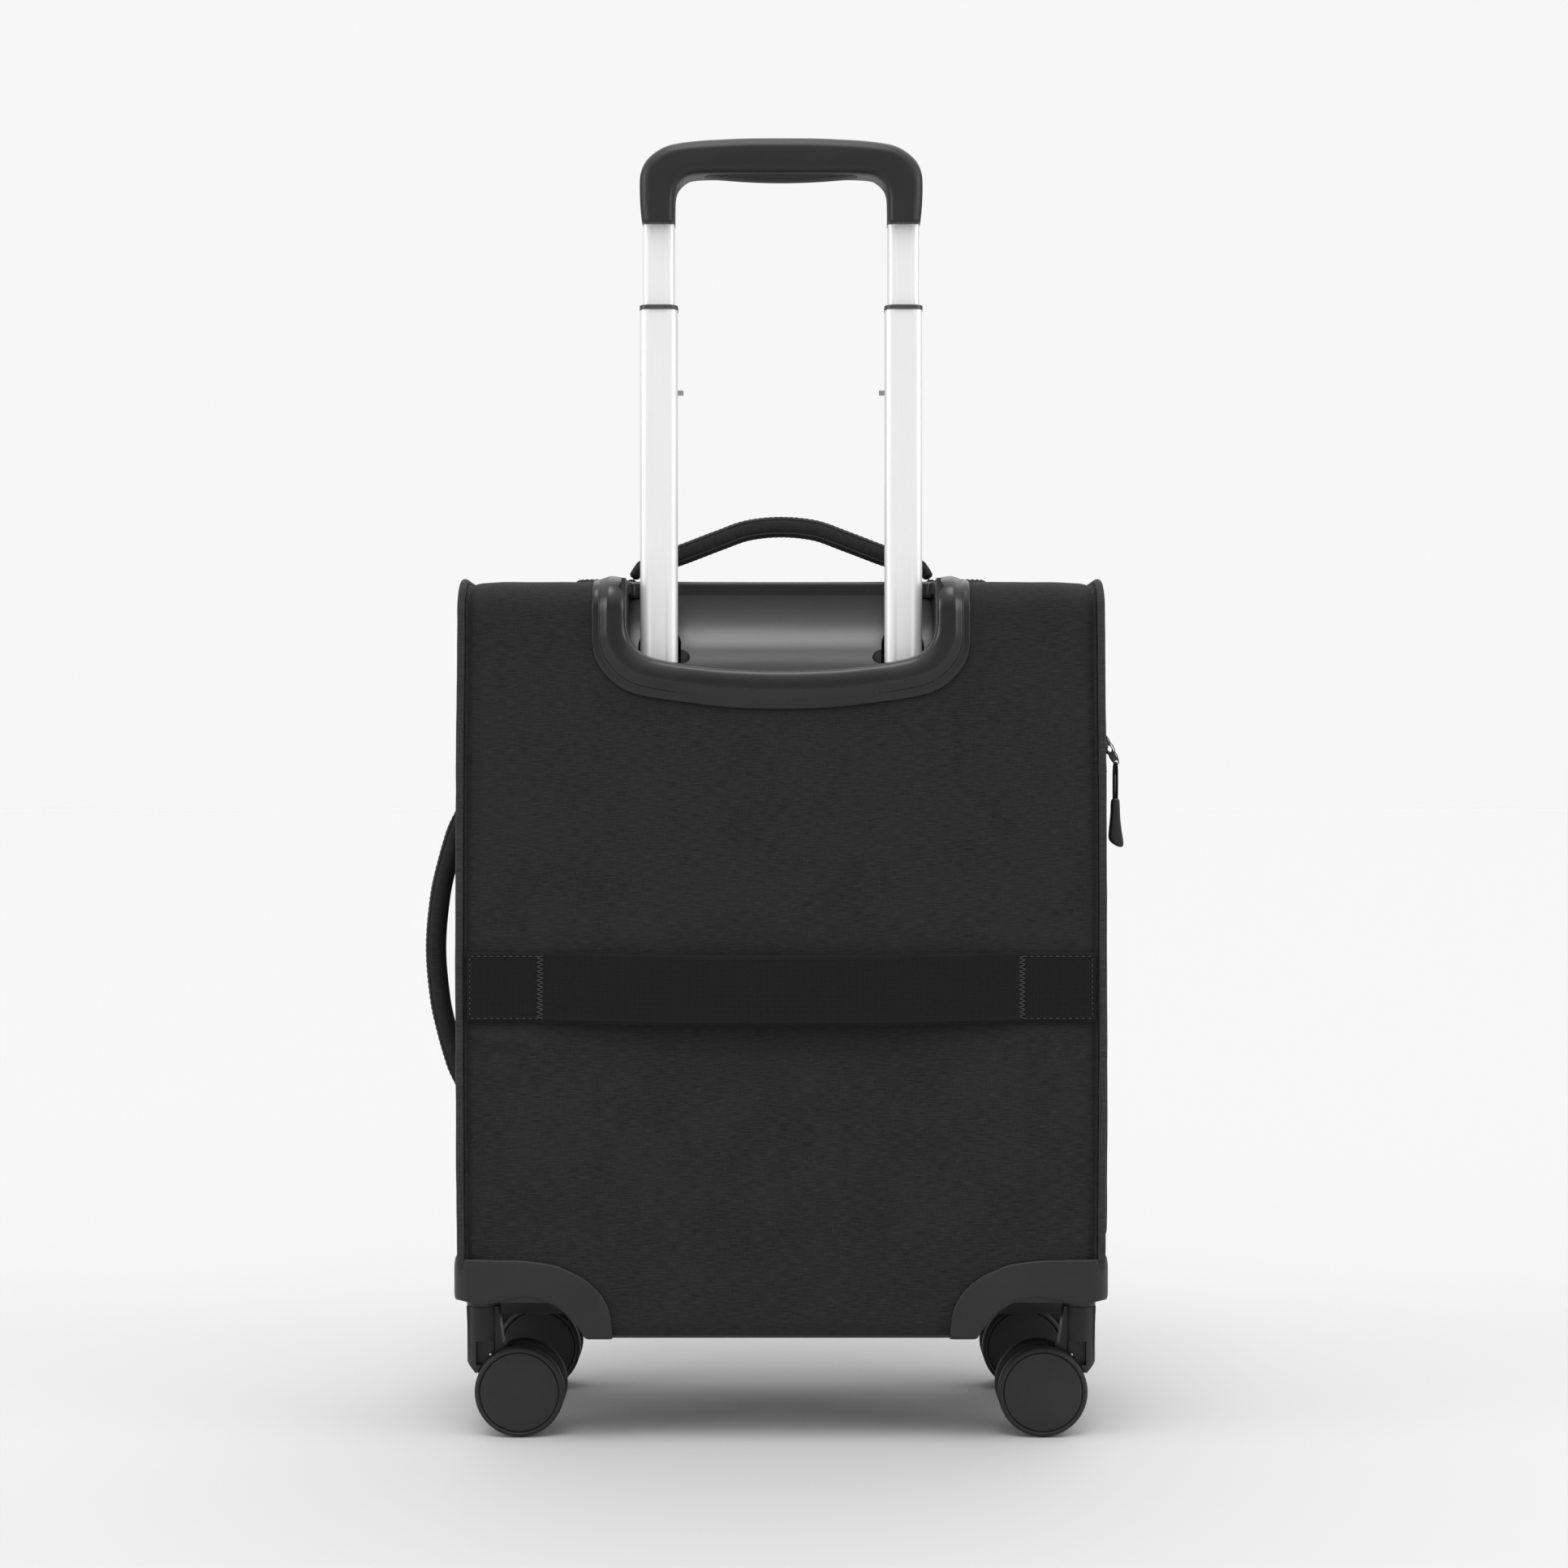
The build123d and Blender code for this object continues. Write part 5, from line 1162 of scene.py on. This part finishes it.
# ---- casters ------------------------------------------------------------------------
WHEEL_WIDTH = 9.0
for depth in ("back", "front"):
    for word in ("left", "right"):
        body = f"wheels_{depth}_{word}"
        low, high = limits(f"wheel_tyres_{depth}_{word}")
        cx, cy, r = (low[0] + high[0]) / 2, (low[1] + high[1]) / 2, (high[0] - low[0]) / 2
        outer = (high[1] - low[1]) / 2
        inner = outer - WHEEL_WIDTH
        for face in (1, -1):
            tread = [(inner, 0.72 * r), (inner, 0.95 * r), (inner + 0.5, 0.985 * r), (inner + 1.6, r),
                     (inner + 4.6, r),
                     (outer - 2.6, r), (outer - 1.2, 0.985 * r), (outer - 0.35, 0.955 * r), (outer, 0.925 * r),
                     (outer - 0.05, 0.9 * r), (outer - 0.7, 0.892 * r), (outer - 1.2, 0.885 * r),
                     (outer - 1.2, 0.7 * r)]
            disc = [(inner + 0.3, 0.0), (inner + 0.3, 0.82 * r), (outer - 1.6, 0.876 * r),
                    (outer - 0.9, 0.874 * r),
                    (outer - 0.35, 0.862 * r), (outer - 0.2, 0.83 * r), (outer - 0.35, 0.5 * r),
                    (outer - 0.4, 0.2 * r),
                    (outer - 0.42, 0.0)]
            tag = "a" if face > 0 else "b"
            for name, outline, material, slot, node in (("tread", tread, TYRE, "tyre_rubber", "wheel_tyres"),
                                                        ("disc", disc, DISC, "wheel_plastic", "wheel_hubs")):
                rows = [[(cx + q * math.cos(a), cy + face * h, r + low[2] + q * math.sin(a))
                         for h, q in outline]
                        for a in np.arange(72) * TAU / 72]
                grid(f"{name}_{depth}_{word}_{tag}", rows, body, material, slot, loop=True, flip=face < 0,
                     replaces=(f"{node}_{depth}_{word}",) if face > 0 else ())
        axle = [[(cx + 3 * math.cos(t), cy + h, r + low[2] + 3 * math.sin(t))
                 for t in np.linspace(0, TAU, 25)[:-1]]
                for h in (-inner - 0.6, inner + 0.6)]
        grid(f"axle_{depth}_{word}", np.array(axle), body, STEEL, "pin_steel", wrap=True, caps=True, flip=True)
        fork_low, fork_high = limits(f"caster_fork_{depth}_{word}")
        stem_x = (fork_high[0] - 10.25) if word == "left" else (fork_low[0] + 10.25)
        trail = -1 if word == "left" else 1
        places = [((stem_x + trail * 5.6, cy + face * 6.6, 50.8), (0, 2.2, 0), (1.5, 0, 0), (0, 0, 1.5))
                  for face in (1, -1)]
        beads(f"brake_pin_{depth}_{word}", places, f"caster_{depth}_{word}", STEEL, "pin_steel")

# ---- inside -------------------------------------------------------------------------
strap_low, strap_high = limits("packing_straps")
for k, cz in enumerate((strap_low[2] + 12.5, strap_high[2] - 12.5)):
    x = np.linspace(strap_low[0], strap_high[0], 90)
    z = np.linspace(-12.5, 12.5, 9)
    gx, gz = np.meshgrid(x, z)
    y = strap_low[1] + 0.1 + 0.5 * np.cos(gx / 23)
    grid(f"packing_webbing_{k}", np.stack([gx, y, cz + gz + 1.2 * np.sin(gx / 60)], -1), "case",
         WEBBING, "webbing", thick=1.2,
         replaces=("packing_straps",) if k == 0 else ())

# ---- materials on the CAD pieces that stay ------------------------------------------
for node, material, width in (
    ("base_tray", BASE, 1.0), ("handle_scoop", SCOOP, 0), ("outer_tubes", ALUMINIUM, 0),
    ("foot_bracket", BASE, 0.8),
    ("opening_hoop", STEEL, 0), ("back_board", BOARD, 0.4), ("strap_buckles", BUCKLE, 1.2),
    ("screws", STEEL, 0.3), ("caster_sockets", CASTER, 0.5), ("tube_collars", COLLAR, 0.4),
    ("lock_pin_left", STEEL, 0.4),
    ("lock_pin_right", STEEL, 0.4),
    *[(f"caster_fork_{d}_{w}", CASTER, 0.7) for d in ("back", "front") for w in ("left", "right")],
):
    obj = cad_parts[node]
    obj.data.materials.clear()
    obj.data.materials.append(material)
    if width:
        bevel(obj, width)

# ---- stage, light and camera --------------------------------------------------------
FLOOR_TONE = 0.498              # the far floor is as pale as the backdrop


def floor_material():
    n = Nodes("floor_paint")
    soft = n.noise(n.coords("Object"), 3, 3, 0.5)
    colour = n.mix(n.math("MULTIPLY", soft, 0.1), grey(FLOOR_TONE), grey(FLOOR_TONE * 0.98))
    return n.finish(colour, 0.9, Specular_IOR_Level=0.1)


floor_mesh = bpy.data.meshes.new("floor")
ring = [(40 * math.cos(TAU * k / 96), 40 * math.sin(TAU * k / 96), 0) for k in range(96)]
floor_mesh.from_pydata(ring, [], [list(range(96))])
floor_mesh.materials.append(floor_material())
floor = bpy.data.objects.new("floor", floor_mesh)
bpy.context.scene.collection.objects.link(floor)
floor.location = (0, 0, cad_low[2] - 0.0002)

world = bpy.data.worlds.new("studio")
bpy.context.scene.world = world
world.use_nodes = True
tree = world.node_tree
direction = tree.nodes.new("ShaderNodeSeparateXYZ")
tree.links.new(tree.nodes.new("ShaderNodeTexCoord").outputs["Generated"], direction.inputs[0])
# soft boxes overhead, and a dimmer room at eye level
overhead = tree.nodes.new("ShaderNodeMapRange")
overhead.interpolation_type = "SMOOTHSTEP"
for socket, value in zip(("From Min", "From Max", "To Min", "To Max"), (0.2, 0.85, 0.3, 1.7)):
    overhead.inputs[socket].default_value = value
tree.links.new(direction.outputs["Z"], overhead.inputs["Value"])
room = tree.nodes["Background"]
tree.links.new(overhead.outputs["Result"], room.inputs["Strength"])
room.inputs["Color"].default_value = (1, 1, 1, 1)
backdrop = tree.nodes.new("ShaderNodeBackground")
backdrop.inputs["Color"].default_value = (*grey(0.93), 1)
seen = tree.nodes.new("ShaderNodeMixShader")
tree.links.new(tree.nodes.new("ShaderNodeLightPath").outputs["Is Camera Ray"], seen.inputs["Fac"])
tree.links.new(room.outputs[0], seen.inputs[1])
tree.links.new(backdrop.outputs[0], seen.inputs[2])
tree.links.new(seen.outputs[0], tree.nodes["World Output"].inputs["Surface"])


def sun(name, towards, strength, spread):
    """A soft light from one direction, the same all over the floor."""
    light = bpy.data.lights.new(name, "SUN")
    light.energy = strength
    light.angle = math.radians(spread)
    obj = bpy.data.objects.new(name, light)
    bpy.context.scene.collection.objects.link(obj)
    obj.rotation_euler = Vector(towards).to_track_quat("-Z", "Y").to_euler()
    return obj


sun("key_above", (-0.1, -0.55, -1.5), 1.1, 28)
sun("rim_left", (-1.0, -0.3, -0.3), 0.8, 25)
sun("rim_right", (1.0, -0.3, -0.3), 0.8, 25)
sun("lid_side", (0.3, 0.8, -1.1), 0.5, 60)

camera = bpy.data.objects.new("camera", bpy.data.cameras.new("camera"))
bpy.context.scene.collection.objects.link(camera)
camera.data.sensor_width = 36
camera.data.lens = 54
camera.location = (-0.0018, 1.569, 0.413)
camera.rotation_euler = (math.radians(90), 0, math.radians(180))
bpy.context.scene.camera = camera
bpy.context.scene.view_settings.view_transform = "Standard"
